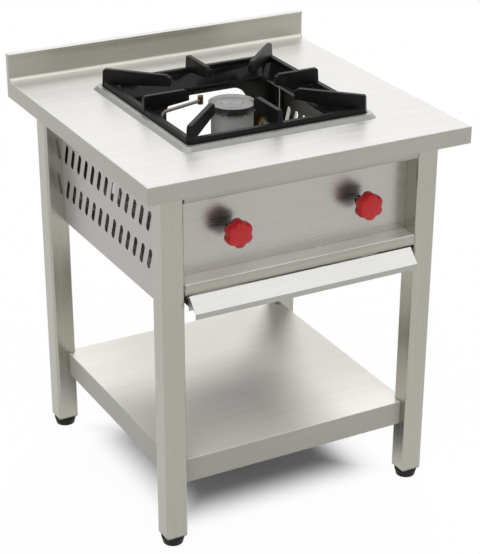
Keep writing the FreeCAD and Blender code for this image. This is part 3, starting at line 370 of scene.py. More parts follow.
def enamel(name, colour):
    """Glossy black vitreous enamel: soft ripple, fine specks and thinner, greyer edges."""
    f = Finish(name, colour, 0.12, Specular_IOR_Level=0.3, Coat_Weight=0.12, Coat_Roughness=0.1)
    rolled = f.rounding(1.2 * MM)
    specks = f.ranged(f.cells(900.0), 0.10, 0.04)
    ripple = f.noise(110.0, 2.0)
    value = f.math("ADD", f.spread(ripple, 0.85, 1.15), f.math("MULTIPLY", specks, 1.5))
    value = f.math("ADD", value, f.math("MULTIPLY", f.edges(rolled), 1.2))
    rough = f.spread(f.noise(28.0, 3.0), 0.10, 0.26)
    return f.done(f.shaded(colour, value), rough, f.relief(ripple, 0.05 * MM, rolled))


def turned_metal(name, colour, roughness, pitch=None, heat=0.0, grain=0.02, metallic=1.0):
    """Turned or cast metal: soft stains, a grainy skin and brighter edges.

    A pitch in mm gives it tool rings about the middle of the range, grain is the skin's depth in mm,
    and heat is the most that its stains turn brown.
    """
    f = Finish(name, colour, roughness, metallic=metallic)
    rolled = f.rounding(0.6 * MM)
    skin = f.noise(900.0, 3.0)
    stains = f.noise(45.0, 4.0)
    value = f.math("ADD", f.spread(stains, 0.88, 1.08),
                   f.math("MULTIPLY", f.edges(rolled), 0.15))
    normal = f.relief(skin, grain * MM, rolled)
    rough = f.spread(stains, roughness - 0.06, roughness + 0.08)
    if pitch:
        ring = f.math("SINE", f.math("MULTIPLY", f.from_middle(), 2 * math.pi / (pitch * MM)))
        value = f.math("ADD", value, f.math("MULTIPLY", ring, 0.05))
        normal = f.relief(f.ranged(ring, -1, 1), 0.06 * MM, normal)
    tinted = f.blend(f.ranged(stains, 0.45, 0.75, 0.0, heat), colour, HEAT_BROWN)
    return f.done(f.shaded(tinted, value), rough, normal)


def zinc_sheet(name, colour):
    """Galvanised steel: spangle of flat crystals, each its own grey, under a faint white bloom."""
    f = Finish(name, colour, 0.42, metallic=1.0)
    rolled = f.rounding(0.8 * MM)
    grey = f.add("ShaderNodeRGBToBW", [("Color", f.cells(110.0, "Color"))]).outputs["Val"]
    bloom = f.noise(30.0, 4.0)
    value = f.math("ADD", f.ranged(grey, 0.2, 0.8, 0.84, 1.12), f.ranged(bloom, 0.4, 0.7, 0.0, 0.1))
    rough = f.math("ADD", f.ranged(grey, 0.2, 0.8, 0.34, 0.46), f.ranged(bloom, 0.4, 0.7, 0.0, 0.1))
    return f.done(f.shaded(colour, value), rough, f.relief(f.noise(500.0), 0.02 * MM, rolled))


def moulded_plastic(name, colour, roughness, skin_depth, skin_scale=1400.0, edge=0.8,
                    shade_from=None, **sockets):
    """Moulded plastic: fine grained skin, slight flow clouds and scuffed, paler edges.

    The skin's depth, the edges' rounding and the Y limit of the dark back are in mm; what lies
    further along Y than that limit is painted nearly black, painted shade for a hollow back.
    """
    f = Finish(name, colour, roughness, **sockets)
    rolled = f.rounding(edge * MM)
    clouds = f.noise(60.0, 3.0)
    scuffs = f.ranged(f.noise(240.0, 4.0), 0.58, 0.72)
    worn = f.math("MULTIPLY", f.edges(rolled), f.ranged(scuffs, 0.0, 1.0, 0.3, 1.0))
    value = f.math("ADD", f.spread(clouds, 0.94, 1.06), f.math("MULTIPLY", worn, 0.25))
    rough = f.math("ADD", f.spread(clouds, roughness - 0.04, roughness + 0.04),
                   f.math("MULTIPLY", scuffs, 0.08))
    tinted = f.shaded(colour, value)
    # painted shade: the part behind the limit is painted near black
    if shade_from is not None:
        behind = f.ranged(f.part("Y", f.place), (shade_from - 1) * MM, (shade_from + 1) * MM)
        tinted = f.blend(behind, tinted, KNOB_BACK_SHADE)
    return f.done(tinted, rough, f.relief(f.noise(skin_scale), skin_depth * MM, rolled))


# ---- values a user would change -----------------------------------------------
def colour_property(name, description, default):
    return FloatVectorProperty(name=name, description=description, default=default, size=3,
                               min=0.0, max=1.0, subtype="COLOR")


class SheetSteelValues(PropertyGroup):
    """Colours and surface of the stainless sheet; level colours and the darker upright ones are lit
    and shaded copies of one steel, painted light and shade.
    """
    top_colour: colour_property("Worktop", "Level faces of the worktop", (0.82, 0.81, 0.79))
    # painted shade: the worktop's upright faces get a darker copy of the steel
    skirt_shade_colour: colour_property("Skirts", "Upright faces of the worktop", (0.42, 0.41, 0.36))
    frame_colour: colour_property("Frame", "Legs and front rails", (0.42, 0.41, 0.36))
    panel_colour: colour_property("Panels", "Fascia and back", (0.47, 0.45, 0.42))
    side_colour: colour_property("Sides", "Slotted side panels", (0.49, 0.465, 0.455))
    # painted shade: the upstand's upright faces get a darker copy of the steel
    upstand_shade_colour: colour_property("Upstand", "Upright faces of the rear upstand",
                                       (0.46, 0.45, 0.38))
    shelf_colour: colour_property("Shelf", "Level face of the undershelf", (0.88, 0.86, 0.80))
    tray_colour: colour_property("Drip tray", "Drip tray and its pull", (0.96, 0.95, 0.92))
    heat_colour: colour_property("Heat tint", "Straw tint on the tray under the burner",
                                 (0.60, 0.50, 0.28))
    # painted shade: the body's inner faces are painted near black, darker higher up
    inside_shade_colour: colour_property("Inside shade", "Inner faces of the body round the burner",
                                 (0.050, 0.048, 0.036))
    hairline: FloatProperty(name="Hairline depth", description="Depth of the brushed lines",
                            default=0.000012, min=0.0, max=0.0001, precision=6, unit="LENGTH")
    roughness: FloatProperty(name="Roughness", description="Mean roughness of the sheet",
                             default=0.36, min=0.05, max=0.8, subtype="FACTOR")


class CastingValues(PropertyGroup):
    """Pan support and spill bowl."""
    iron_colour: colour_property("Iron", "Black coat of the pan support", (0.008, 0.008, 0.0078))
    enamel_colour: colour_property("Enamel", "Enamel of the spill bowl", (0.010, 0.010, 0.010))
    pebble: FloatProperty(name="Pebble depth", description="Depth of the casting's skin",
                          default=0.00007, min=0.0, max=0.001, precision=5, unit="LENGTH")


class BurnerValues(PropertyGroup):
    """Burner head and mixing tube."""
    alloy_colour: colour_property("Alloy", "Turned and cast aluminium", (0.38, 0.38, 0.38))
    cast_colour: colour_property("Cast body", "Burner body and mixing tube", (0.40, 0.39, 0.38))
    cap_radius: FloatProperty(name="Cap radius", description="Radius of the burner cap, in mm",
                              default=41.5, min=20.0, max=60.0)
    cap_rings: IntProperty(name="Cap rings", description="Turned rings in the dish of the cap",
                           default=4, min=0, max=12)


class KnobValues(PropertyGroup):
    """Red star knobs."""
    colour: colour_property("Red", "Moulded red of the knobs", (0.54, 0.020, 0.026))
    radius: FloatProperty(name="Radius", description="Radius over the lobes, in mm", default=24.4,
                          min=15.0, max=40.0)
    lobes: IntProperty(name="Lobes", description="Number of lobes", default=6, min=3, max=12)
    notch: FloatProperty(name="Notch", description="Depth of a notch as a share of the radius",
                         default=0.14, min=0.0, max=0.5, subtype="FACTOR")


class FootValues(PropertyGroup):
    """Levelling feet."""
    colour: colour_property("Foot", "Moulded black of the feet", (0.014, 0.015, 0.013))
    insert_colour: colour_property("Insert", "Moulded grey of the leg ends", (0.30, 0.30, 0.28))
    pitch: FloatProperty(name="Thread pitch", description="Pitch of the stem's thread, in mm",
                         default=1.5, min=0.5, max=4.0)


class GasValues(PropertyGroup):
    """Taps, pipes and fittings."""
    brass_colour: colour_property("Brass", "Taps and fittings", (0.62, 0.46, 0.20))
    pipe_colour: colour_property("Pipe", "Zinc-plated gas pipe", (0.46, 0.47, 0.48))
    tube_colour: colour_property("Tube", "Small tubes and spindles", (0.26, 0.25, 0.24))
    zinc_colour: colour_property("Galvanised", "Hidden runners, channels and brackets",
                                 (0.55, 0.56, 0.57))
    barbs: IntProperty(name="Barbs", description="Barbs on the hose tail", default=4, min=1, max=8)


class StudioValues(PropertyGroup):
    """Camera, lamps and floor."""
    camera_place: FloatVectorProperty(name="Camera", description="Place of the camera",
                                      default=(-1.318994, -2.479362, 1.660472), size=3,
                                      unit="LENGTH")
    camera_turn: FloatVectorProperty(name="Camera turn", description="Heading, dip and roll",
                                     default=(0.514, -0.474, 0.012), size=3, unit="ROTATION")
    lens: FloatProperty(name="Lens", description="Focal length in mm for a 36 mm sensor",
                        default=110.615, min=20.0, max=400.0)
    shift: FloatVectorProperty(name="Shift", description="Lens shift as a share of the sensor",
                               default=(-0.0542, 0.1227), size=2)
    key: FloatProperty(name="Key", description="Strength of the lamp behind, right", default=2.4,
                       min=0.0, max=10.0)
    top: FloatProperty(name="Top", description="Strength of the lamp above", default=0.9, min=0.0,
                       max=10.0)
    fill: FloatProperty(name="Fill", description="Strength of the lamp in front, left",
                        default=0.45, min=0.0, max=10.0)
    ambient: FloatProperty(name="Ambient", description="Grey light from all around", default=0.27,
                           min=0.0, max=2.0)
    floor_glow: FloatProperty(name="Floor glow", description="Share of white in the floor as seen",
                              default=0.97, min=0.0, max=1.0, subtype="FACTOR")
    footprint: FloatVectorProperty(name="Footprint", description="Half sizes of the deep shadow",
                                   default=(0.235, 0.225), size=2, unit="LENGTH")


# ---- steel ------------------------------------------------------------------
class POTRANGE_OT_worktop(Operator):
    """Satin finish for the worktop, its upstand and the raised rim round the bowl"""
    bl_idname = "potrange.worktop"
    bl_label = "Finish Worktop"
    bl_options = {"REGISTER", "UNDO"}

    def execute(self, context):
        steel = context.scene.potrange_steel
        # painted light and shade: level faces get the lighter colour, the skirts and the upstand's
        # upright faces a darker one
        dress("worktop", satin_steel("worktop satin steel", steel, steel.top_colour,
                                     steel.skirt_shade_colour, edge=1.2, metallic=0.5))
        dress("backsplash", satin_steel("upstand satin steel", steel, steel.top_colour,
                                        steel.upstand_shade_colour, edge=1.2))
        # the rim's sides get painted shade
        dress("burner_collar", satin_steel("rim satin steel", steel, LIT_RIM_LEVEL, SHADED_RIM_UPRIGHT, 0.03))
        return {"FINISHED"}


def shade_beneath(f):
    """Painted shade for faces that look down: they are given a dark grey, as if in shade."""
    return [(f.ranged(f.upward(), -0.3, -0.5), UNDERSIDE_SHADE)]


class POTRANGE_OT_frame(Operator):
    """Satin finish for the square-tube legs, the two front rails and the undershelf"""
    bl_idname = "potrange.frame"
    bl_label = "Finish Frame"
    bl_options = {"REGISTER", "UNDO"}

    def execute(self, context):
        steel = context.scene.potrange_steel
        legs = satin_steel("leg satin steel", steel, steel.frame_colour, steel.frame_colour, -0.12,
                           0.6, runs_up=True, edge=0.6, metallic=0.95)
        for corner, _, _ in LEG_PLACES:
            dress("leg_" + corner, legs)
        # painted light on the rails' level ledge, painted shade on their upright faces
        rails = satin_steel("rail satin steel", steel, LIT_RAIL_LEDGE, steel.frame_colour, edge=7.0,
                            metallic=0.7)
        dress("upper_front_rail", rails)
        dress("lower_front_rail", rails)
        # painted light and shade: the shelf's level face near white, its upright skirt darker, and
        # painted shade on faces that look down
        dress("undershelf", satin_steel("shelf satin steel", steel, steel.shelf_colour,
                                        steel.frame_colour, metallic=0.1, shade_and_stain=shade_beneath))
        return {"FINISHED"}


def shaded_inside(axis, limit, tint):
    """Painted shade for a panel's inner face, in faint clouds: what lies nearer the burner than
    limit.
    """
    def shade_and_stain(f):
        inside = f.math("LESS_THAN", f.math("ABSOLUTE", f.part(axis, f.place)), limit * MM)
        height = f.ranged(f.part("Z", f.place), 450 * MM, 560 * MM, 0.75, 1.0, smooth=True)
        inside_shade = f.math("MULTIPLY", height, f.spread(f.noise(9.0), 0.9, 1.0))
        return [(f.math("MULTIPLY", inside, inside_shade), tint)]
    return shade_and_stain


def heat_tint_and_shade(straw):
    """Marks for the tray: the straw ring that heat leaves under the burner, a real stain, and
    painted shade on the underside.
    """
    def shade_and_stain(f):
        ring = f.ranged(f.from_middle(), 200 * MM, 90 * MM, 0.0, 0.8, smooth=True)
        return [(f.math("MULTIPLY", ring, f.levelness()), straw)] + shade_beneath(f)
    return shade_and_stain


class POTRANGE_OT_panels(Operator):
    """Satin finish for the sides, fascia, back and drip tray, with painted shade inside the body and
    a heat tint on the tray
    """
    bl_idname = "potrange.panels"
    bl_label = "Finish Panels"
    bl_options = {"REGISTER", "UNDO"}

    def execute(self, context):
        steel = context.scene.potrange_steel
        # the second colour here is painted shade for the inside of the body
        colour, inside_shade = steel.panel_colour, steel.inside_shade_colour
        sides = satin_steel("side satin steel", steel, steel.side_colour, steel.side_colour, 0.02,
                            edge=0.6, shade_and_stain=shaded_inside("X", SIDE_WEB_X, inside_shade))
        dress("side_panel_left", sides)
        dress("side_panel_right", sides)
        dress("rear_panel", satin_steel("back satin steel", steel, colour, colour, 0.02,
                                        shade_and_stain=shaded_inside("Y", BACK_WEB_Y, inside_shade)))
        dress("fascia", satin_steel("fascia satin steel", steel, colour, colour, -0.06, 0.4,
                                    shade_and_stain=shaded_inside("Y", FASCIA_WEB_Y, inside_shade), metallic=0.9))
        # painted light on the tray's level faces and lip, painted shade on its upright faces and
        # underside
        dress("drip_tray", satin_steel("tray satin steel", steel, steel.tray_colour, SHADED_TRAY_UPRIGHT,
                                       -0.12, 0.5, shade_and_stain=heat_tint_and_shade(steel.heat_colour),
                                       metallic=0.95))
        return {"FINISHED"}


# ---- castings and burner ------------------------------------------------------
class POTRANGE_OT_pan_support(Operator):
    """Pebbled black coat for the pan support and glossy enamel for the spill bowl"""
    bl_idname = "potrange.pan_support"
    bl_label = "Finish Pan Support"
    bl_options = {"REGISTER", "UNDO"}

    def execute(self, context):
        values = context.scene.potrange_castings
        dress("pan_support", cast_iron("black coated cast iron", values.iron_colour, values.pebble))
        dress("spill_bowl", enamel("black vitreous enamel", values.enamel_colour))
        return {"FINISHED"}


def cap_profile(radius, rings):
    """Half section of the burner cap, from its middle underneath to its middle on top.

    The dish between boss and rim is level but for the rings, each a shallow groove
    0.35 * (1 - cos(2 pi s)) / 2 deep along the way s across the dish.
    """
    outside = [(0, 673), (33.0, 673), (33.0, 680), (radius, 680), (radius, 692), (radius - 4.2, 692),
               (radius - 5.4, 688.4)]
    inside = [(18.6, 688.2), (17.4, 690.5), (0, 690.5)]
    outer = softened(outside, 0.7)
    inner = softened(inside, 0.7)
    across = np.linspace(radius - 6.2, 19.4, 16 * max(rings, 1) + 1)
    share = np.linspace(0, rings, len(across))
    groove = 0.35 * (1 - np.cos(2 * math.pi * share)) / 2
    dish = np.column_stack([across, 688.25 - groove])
    return np.vstack([outer[:-1], dish, inner[1:]])


class POTRANGE_OT_burner(Operator):
    """Turned burner cap with fine rings, and finishes for the body, ring, tube and shutter"""
    bl_idname = "potrange.burner"
    bl_label = "Make Burner"
    bl_options = {"REGISTER", "UNDO"}

    def execute(self, context):
        values = context.scene.potrange_burner
        alloy = values.alloy_colour
        profile = cap_profile(values.cap_radius, values.cap_rings)
        cap = new_piece("burner_cap_turned", [revolved(profile, 96, (0, 0, 0), "Z")])
        dress(cap, turned_metal("turned cap alloy", alloy, 0.30, pitch=0.9, heat=0.25))
        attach(cap, "burner_cap")
        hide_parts("burner_cap")
        dress("burner_ring", turned_metal("turned ring alloy", RING_ALLOY, 0.40, heat=0.1,
                                          metallic=0.2))
        dress("burner_base", turned_metal("cast base alloy", BASE_ALLOY, 0.45, heat=0.1,
                                          grain=0.10, metallic=0.2))
        dress("mixing_tube", turned_metal("cast tube alloy", values.cast_colour, 0.48, heat=0.2,
                                          grain=0.10))
        dress("air_shutter", turned_metal("shutter alloy", alloy, 0.30, heat=0.1))
        return {"FINISHED"}


# ---- knobs --------------------------------------------------------------------
def knob_surface(x, radius, lobes, notch):
    """One closed star knob about the line along Y at x and KNOB_Z.

    The profile's rows carry a radius, a place along Y and a share w of the lobes. The outline is
    radius * (1 - notch * w * n(a)), with n(a) = ((1 + cos(lobes * (a - 90 deg) + 180 deg)) / 2) ^
    1.7, which is 1 in the middle of each notch and 0 on each lobe. The rows of the front face dip
    by a further 1.2 * sin(0.9 pi w) * n(a) mm.
    """
    r = radius
    rows = np.array([
        (0.0, -270.0, 0.0), (5.0, -269.95, 0.0), (9.0, -269.8, 0.0), (12.5, -269.5, 0.10),
        (15.5, -268.9, 0.32), (0.74 * r, -268.0, 0.60), (0.84 * r, -266.6, 0.82),
        (0.92 * r, -264.6, 0.95), (0.97 * r, -262.0, 1.0), (r, -258.5, 1.0), (r, -250.4, 1.0),
        (0.995 * r, -248.0, 1.0), (0.975 * r, -246.7, 1.0), (0.945 * r, -246.05, 1.0),
        (0.915 * r, -246.3, 1.0), (0.90 * r, -247.5, 1.0), (0.89 * r, -258.0, 1.0),
        (0.84 * r, -260.5, 0.9), (15.5, -261.4, 0.2), (12.6, -261.2, 0.0), (12.0, -260.0, 0.0),
        (12.0, -239.0, 0.0), (11.6, -237.6, 0.0), (10.6, -237.0, 0.0), (4.2, -237.0, 0.0),
        (0.0, -237.0, 0.0),
    ])
    face_rows = 10
    columns = 24 * lobes
    angle = np.linspace(0, 2 * math.pi, columns, endpoint=False)
    dip = ((1 + np.cos(lobes * (angle - math.pi / 2) + math.pi)) / 2) ** 1.7
    swell = 1 - notch * rows[:, 2:3] * dip[None]
    points, faces = revolved(rows[:, :2], columns, (x, 0, KNOB_Z), "Y", swell)
    sink = np.where(np.arange(len(rows)) < face_rows, np.sin(math.pi * rows[:, 2] * 0.9), 0.0)
    points[:, 1] += 1.2 * MM * (sink[:, None] * dip[None]).reshape(-1)
    return points, faces


class POTRANGE_OT_knobs(Operator):
    """Two red six-lobed star knobs with hollow backs"""
    bl_idname = "potrange.knobs"
    bl_label = "Make Knobs"
    bl_options = {"REGISTER", "UNDO"}

    def execute(self, context):
        values = context.scene.potrange_knobs
        # the knobs' backs get painted shade, nearly black
        red = moulded_plastic("red moulded plastic", values.colour, 0.30, 0.006, edge=0.6,
                              shade_from=-250.0, Specular_IOR_Level=0.25, Coat_Weight=0.05,
                              Coat_Roughness=0.12)
        for name, x in (("knob_pilot", -KNOB_X), ("knob_main", KNOB_X)):
            surface = knob_surface(x, values.radius, values.lobes, values.notch)
            knob = new_piece(name + "_star", [surface], 50.0)
            dress(knob, red)
            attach(knob, name)
            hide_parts(name)
        return {"FINISHED"}


# ---- feet -----------------------------------------------------------------------
def thread_surface(x, y, radius, depth, pitch, low, high):
    """Screw thread about an upright axis, its ends closed.

    The radius at height h and angle a is radius - depth * (1 + cos(2 pi h / pitch - a)) / 2, and the
    depth grows from 0 to its whole over one pitch at each end.
    """
    columns, rows_per_turn = 28, 7
    heights = np.linspace(low, high, int((high - low) / pitch * rows_per_turn))
    angle = np.linspace(0, 2 * math.pi, columns, endpoint=False)
    run_in = np.clip(np.minimum(heights - low, high - heights) / pitch, 0, 1)
    turn = 2 * math.pi * heights[:, None] / pitch - angle[None]
    cut = depth * run_in[:, None] * (1 + np.cos(turn)) / 2
    profile = np.column_stack([np.full(len(heights), radius), heights])
    profile = np.vstack([(0, low), profile, (0, high)])
    swell = np.vstack([np.ones(columns), 1 - cut / radius, np.ones(columns)])
    return revolved(profile, columns, (x, y, 0), "Z", swell)


class POTRANGE_OT_feet(Operator):
    """Four tapered levelling feet on threaded stems, and the moulded plugs in the leg ends"""
    bl_idname = "potrange.feet"
    bl_label = "Make Feet"
    bl_options = {"REGISTER", "UNDO"}

    def execute(self, context):
        values = context.scene.potrange_feet
        black = moulded_plastic("black moulded plastic", values.colour, 0.5, 0.03, 900.0,
                                Specular_IOR_Level=0.15)
        grey = moulded_plastic("grey moulded plastic", values.insert_colour, 0.45, 0.02, 900.0)
        cup = softened([(0, 0.6), (12.0, 0.6), (13.0, 0), (17.4, 0), (17.9, 2.2), (20.6, 12.4),
                        (20.9, 13.4), (20.4, 15.4), (18.2, 17.2), (4.6, 17.2), (0, 17.2)], 0.8)
        for corner, x, y in LEG_PLACES:
            node = "foot_" + corner
            foot = new_piece(node + "_moulded", [
                revolved(cup, 72, (x, y, 0), "Z"),
                thread_surface(x, y, 4.88, 0.75, values.pitch, 16.5, 58.0)])
            dress(foot, black)
            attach(foot, node)
            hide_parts(node)
            dress("foot_insert_" + corner, grey)
        return {"FINISHED"}


# ---- gas parts --------------------------------------------------------------------
def hose_tail_surface(x, z, barbs):
    """Hexagon socket, neck and barbed hose tail as one turned surface with flats.

    Rows marked 1 take the hexagon outline cos(30) / cos(b), b being the angle from the nearest
    flat's middle; along the tail the radius climbs from 5.7 to 6.5 mm over each barb and drops back.
    """
    first, last = 263.0, 285.0
    step = (last - first) / barbs
    starts = first + step * np.arange(barbs)
    thin, thick = np.full(barbs, 5.7), np.full(barbs, 6.5)
    ridges = np.column_stack([thin, starts, thick, starts + 0.72 * step,
                              thick, starts + 0.86 * step]).reshape(-1, 2)[::-1]
    body = [(10.7, 232.0, 1), (15.2, 232.0, 1), (16.1, 233.2, 1), (16.1, 250.8, 1),
            (15.2, 251.9, 1), (12.0, 252.0, 0), (12.0, 261.2, 0), (11.2, 262.0, 0), (6.3, 262.0, 0)]
    tail = [(r, first + last - y, 0) for r, y in ridges.tolist()] + [
        (6.2, 287.2, 0), (5.4, 288.0, 0), (4.0, 288.0, 0), (4.0, 246.0, 0), (10.7, 246.0, 0),
        (10.7, 232.0, 1)]
    rows = np.array(body + tail)
    columns = 96
    angle = np.linspace(0, 2 * math.pi, columns, endpoint=False)
    from_flat = np.mod(angle, math.pi / 3) - math.pi / 6
    hexagon = np.cos(math.pi / 6) / np.cos(from_flat)
    flats = (rows[:, 2:3] == 1) & (rows[:, 0:1] > 12)
    swell = np.where(flats, hexagon[None], 1.0)
    return revolved(rows[:, :2], columns, (x, 0, z), "Y", swell)


class POTRANGE_OT_gas_parts(Operator):
    """Brass taps, injector and pilot, plated pipes and a barbed hose tail at the back"""
    bl_idname = "potrange.gas_parts"
    bl_label = "Make Gas Parts"
    bl_options = {"REGISTER", "UNDO"}

    def execute(self, context):
        values = context.scene.potrange_gas
        brass = turned_metal("turned brass", values.brass_colour, 0.26, heat=0.15)
        for node in ("valve_pilot", "valve_main", "injector", "pilot_burner", "manifold_plug"):
            dress(node, brass)
        pipe = turned_metal("plated pipe steel", values.pipe_colour, 0.36, grain=0.05)
        for node in ("gas_manifold", "supply_elbow", "supply_pipe"):
            dress(node, pipe)
        tube = turned_metal("dulled tube steel", values.tube_colour, 0.38, heat=0.4)
        for node in ("feed_tube", "pilot_tube", "spindle_pilot", "spindle_main"):
            dress(node, tube)
        surface = hose_tail_surface(INLET_X, INLET_Z, values.barbs)
        tail = new_piece("hose_tail_barbed", [surface], 28.0)
        dress(tail, brass)
        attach(tail, "range_body")
        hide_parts("inlet_connector")
        return {"FINISHED"}


class POTRANGE_OT_hidden_hardware(Operator):
    """Galvanised finish for the channels, runners, brackets, cradle, bolts and pipe clips"""
    bl_idname = "potrange.hidden_hardware"
    bl_label = "Finish Hidden Hardware"
    bl_options = {"REGISTER", "UNDO"}

    def execute(self, context):
        zinc = zinc_sheet("galvanised steel", context.scene.potrange_gas.zinc_colour)
        for node in ("top_stiffener_front", "top_stiffener_rear", "tray_runner_left",
                     "tray_runner_right", "cradle_bracket_left", "cradle_bracket_right",
                     "burner_cradle", "cradle_bolts", "pipe_clips"):
            dress(node, zinc)
        return {"FINISHED"}


# ---- cove and screws ------------------------------------------------------------------
def cove_surface(front_y, low_z, radius, x_end):
    """Hollow quarter-round strip along X in the corner of the worktop and its upstand.

    Its face is y = front_y + radius sin t, z = low_z + radius (1 - cos t) for t from 0 to 90
    degrees; 0.3 mm flanks go into the sheet. Each end is closed by a row drawn to one point inside
    the section, the mean of its last seven.
    """
    t = np.linspace(0, math.pi / 2, 13)
    face = np.column_stack([front_y + radius * np.sin(t), low_z + radius * (1 - np.cos(t))])
    far = front_y + radius + 0.3
    section = np.vstack([face, (far, low_z + radius), (far, low_z - 0.3), (front_y, low_z - 0.3)])
    middle = np.tile(section[9:].mean(axis=0), (len(section), 1))
    rows = [(-x_end, middle), (-x_end, section), (x_end, section), (x_end, middle)]
    points = np.vstack([np.column_stack([np.full(len(part), x), part]) for x, part in rows])
    return points * MM, round_grid(len(rows), len(section))


class POTRANGE_OT_cove(Operator):
    """Polished cove that closes the corner between the worktop and its upstand"""
    bl_idname = "potrange.cove"
    bl_label = "Make Cove"
    bl_options = {"REGISTER", "UNDO"}

    def execute(self, context):
        steel = context.scene.potrange_steel
        surface = cove_surface(COVE_FRONT_Y, WORKTOP_Z, COVE_RADIUS, COVE_END_X)
        cove = new_piece("upstand_cove", [surface])
        dress(cove, satin_steel("cove satin steel", steel, COVE, COVE, edge=0.3))
        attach(cove, "range_body")
        return {"FINISHED"}


def screw_surface(x, z, face_y, radius=3.6, rise=2.0):
    """Domed screw head on a face that looks to +Y, with a cross slot.

    Over the head the rise is rise * sqrt(1 - 0.8 s^2) with s = distance / radius; within 62 % of the
    radius it sinks by 0.9 mm where |u| or |v| is under 0.45 mm, which makes the cross. The last two
    rows are the head's wall and its middle underneath, 0.3 mm inside the panel.
    """
    columns = 64
    angle = np.linspace(0, 2 * math.pi, columns, endpoint=False)
    share = np.concatenate([np.linspace(0, 1, 15), [1.0, 0.0]])
    u = radius * share[:, None] * np.cos(angle)[None]
    v = radius * share[:, None] * np.sin(angle)[None]
    height = rise * np.sqrt(1 - 0.8 * share[:, None] ** 2) * np.ones((1, columns))
    cross = (np.minimum(np.abs(u), np.abs(v)) < 0.45) & (share[:, None] < 0.62)
    height = height - 0.9 * cross
    height[-2:] = -0.3
    points = np.stack([x + u, face_y + height, z + v], axis=-1)
    return points.reshape(-1, 3) * MM, round_grid(len(share), columns)


class POTRANGE_OT_screws(Operator):
    """Screws that hold the removable back"""
    bl_idname = "potrange.screws"
    bl_label = "Make Screws"
    bl_options = {"REGISTER", "UNDO"}

    def execute(self, context):
        bright = turned_metal("plated screw steel", SCREW, 0.28)
        places = [(x, z) for x in (-206.0, 0.0, 206.0) for z in (442.0, 668.0)] + [(-206.0, 555.0)]
        for number, (x, z) in enumerate(places, 1):
            screw = new_piece("back_screw_%d" % number, [screw_surface(x, z, BACK_FACE_Y)], 40.0)
            dress(screw, bright)
            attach(screw, "range_body")
        return {"FINISHED"}


# ---- studio ---------------------------------------------------------------------------
def lamp(name, strength, towards, spread):
    """Soft distant lamp that shines along a direction, with no glint of its own on the metal."""
    light = bpy.data.lights.new(name, "SUN")
    light.energy = strength
    light.angle = math.radians(spread)
    thing = bpy.data.objects.new(name, light)
    thing.rotation_euler = Vector(towards).to_track_quat("-Z", "Y").to_euler()
    thing.visible_glossy = False
    bpy.context.scene.collection.objects.link(thing)


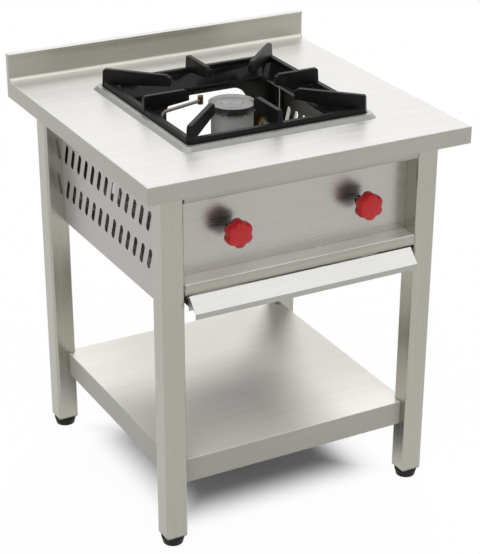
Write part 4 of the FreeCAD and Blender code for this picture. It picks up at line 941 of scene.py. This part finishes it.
class POTRANGE_OT_studio(Operator):
    """Pale floor, white surroundings, three soft lamps and the camera"""
    bl_idname = "potrange.studio"
    bl_label = "Set Up Studio"
    bl_options = {"REGISTER", "UNDO"}

    def execute(self, context):
        values = context.scene.potrange_studio
        context.scene.view_settings.view_transform = "Standard"
        self.surroundings(context, values)
        self.floor(values)
        for name, towards, spread in LAMPS:
            lamp(name, getattr(values, name), towards, spread)
        self.camera(context, values)
        return {"FINISHED"}

    def surroundings(self, context, values):
        """World that is white where it is seen and a plain grey light elsewhere."""
        world = bpy.data.worlds.new("studio surroundings")
        world.use_nodes = True
        context.scene.world = world
        world.node_tree.nodes.clear()
        nodes = Nodes(world.node_tree)
        light = nodes.add("ShaderNodeBackground", [("Color", WHITE), ("Strength", values.ambient)])
        white = nodes.add("ShaderNodeBackground", [("Color", WHITE), ("Strength", 1.0)])
        both = nodes.mixed(nodes.seen_directly(), light, white)
        nodes.add("ShaderNodeOutputWorld", [("Surface", both)])

    def floor(self, values):
        """Wide pale floor that keeps the shadow and is near white where it is seen."""
        half = 30.0
        mesh = bpy.data.meshes.new("studio floor")
        corners = [(-half, -half, 0), (half, -half, 0), (half, half, 0), (-half, half, 0)]
        mesh.from_pydata(corners, [], [(0, 1, 2, 3)])
        floor = bpy.data.objects.new("studio_floor", mesh)
        bpy.context.scene.collection.objects.link(floor)
        material = bpy.data.materials.new("pale floor")
        material.use_nodes = True
        material.node_tree.nodes.clear()
        nodes = Nodes(material.node_tree)
        matt = nodes.add("ShaderNodeBsdfDiffuse", [("Color", FLOOR)])
        white = nodes.add("ShaderNodeEmission", [("Color", WHITE), ("Strength", 1.0)])
        share = nodes.math("MULTIPLY", nodes.seen_directly(), self.glow_by_place(nodes, values))
        nodes.add("ShaderNodeOutputMaterial", [("Surface", nodes.mixed(share, matt, white))])
        mesh.materials.append(material)

    def glow_by_place(self, nodes, values):
        """Share of white in the floor: none under the shelf's middle, all of it past the footprint.

        It grows with q = max(|x| / half width, |y| / half depth), so the shadow under the range
        stays deep.
        """
        place = nodes.add("ShaderNodeTexCoord").outputs["Object"]
        reach = [nodes.math("DIVIDE", nodes.math("ABSOLUTE", nodes.part(axis, place)), half)
                 for axis, half in zip("XY", values.footprint)]
        q = nodes.math("MAXIMUM", *reach)
        return nodes.ranged(q, 0.5, 1.02, 0.0, values.floor_glow, smooth=True)

    def camera(self, context, values):
        """Camera from its heading, dip and roll.

        Forward is (sin h cos d, cos h cos d, sin d), the side is (cos h, -sin h, 0), and side and up
        are then turned about forward by the roll.
        """
        heading, dip, roll = values.camera_turn
        forward = Vector((math.sin(heading) * math.cos(dip), math.cos(heading) * math.cos(dip),
                          math.sin(dip)))
        side = Vector((math.cos(heading), -math.sin(heading), 0))
        up = side.cross(forward)
        turned_side = side * math.cos(roll) + up * math.sin(roll)
        turned_up = up * math.cos(roll) - side * math.sin(roll)
        data = bpy.data.cameras.new("photo camera")
        data.lens = values.lens
        data.sensor_width = 36.0
        data.shift_x, data.shift_y = values.shift
        data.clip_end = 100.0
        camera = bpy.data.objects.new("photo_camera", data)
        turn = Matrix((turned_side, turned_up, -forward)).transposed().to_4x4()
        camera.matrix_world = Matrix.Translation(Vector(values.camera_place)) @ turn
        context.scene.collection.objects.link(camera)
        context.scene.camera = camera


# ---- sidebar and running ------------------------------------------------------------------
GROUPS = (
    ("potrange_steel", SheetSteelValues), ("potrange_castings", CastingValues),
    ("potrange_burner", BurnerValues), ("potrange_knobs", KnobValues),
    ("potrange_feet", FootValues), ("potrange_gas", GasValues), ("potrange_studio", StudioValues),
)
STEPS = (
    POTRANGE_OT_worktop, POTRANGE_OT_frame, POTRANGE_OT_panels, POTRANGE_OT_pan_support,
    POTRANGE_OT_burner, POTRANGE_OT_knobs, POTRANGE_OT_feet, POTRANGE_OT_gas_parts,
    POTRANGE_OT_hidden_hardware, POTRANGE_OT_cove, POTRANGE_OT_screws, POTRANGE_OT_studio,
)


class POTRANGE_PT_sidebar(Panel):
    """The range's steps in order, each with its values"""
    bl_idname = "POTRANGE_PT_sidebar"
    bl_label = "Stock Pot Range"
    bl_space_type = "VIEW_3D"
    bl_region_type = "UI"
    bl_category = "Pot Range"

    def draw(self, context):
        for step in STEPS:
            self.layout.operator(step.bl_idname)
        for name, group in GROUPS:
            box = self.layout.box()
            for value in group.__annotations__:
                box.prop(getattr(context.scene, name), value)


def register():
    for name, group in GROUPS:
        bpy.utils.register_class(group)
        setattr(bpy.types.Scene, name, PointerProperty(type=group))
    for thing in STEPS + (POTRANGE_PT_sidebar,):
        bpy.utils.register_class(thing)


def unregister():
    for thing in reversed(STEPS + (POTRANGE_PT_sidebar,)):
        bpy.utils.unregister_class(thing)
    for name, group in reversed(GROUPS):
        delattr(bpy.types.Scene, name)
        bpy.utils.unregister_class(group)


def main():
    register()
    bpy.ops.potrange.worktop()
    bpy.ops.potrange.frame()
    bpy.ops.potrange.panels()
    bpy.ops.potrange.pan_support()
    bpy.ops.potrange.burner()
    bpy.ops.potrange.knobs()
    bpy.ops.potrange.feet()
    bpy.ops.potrange.gas_parts()
    bpy.ops.potrange.hidden_hardware()
    bpy.ops.potrange.cove()
    bpy.ops.potrange.screws()
    bpy.ops.potrange.studio()


if __name__ == "__main__":
    main()
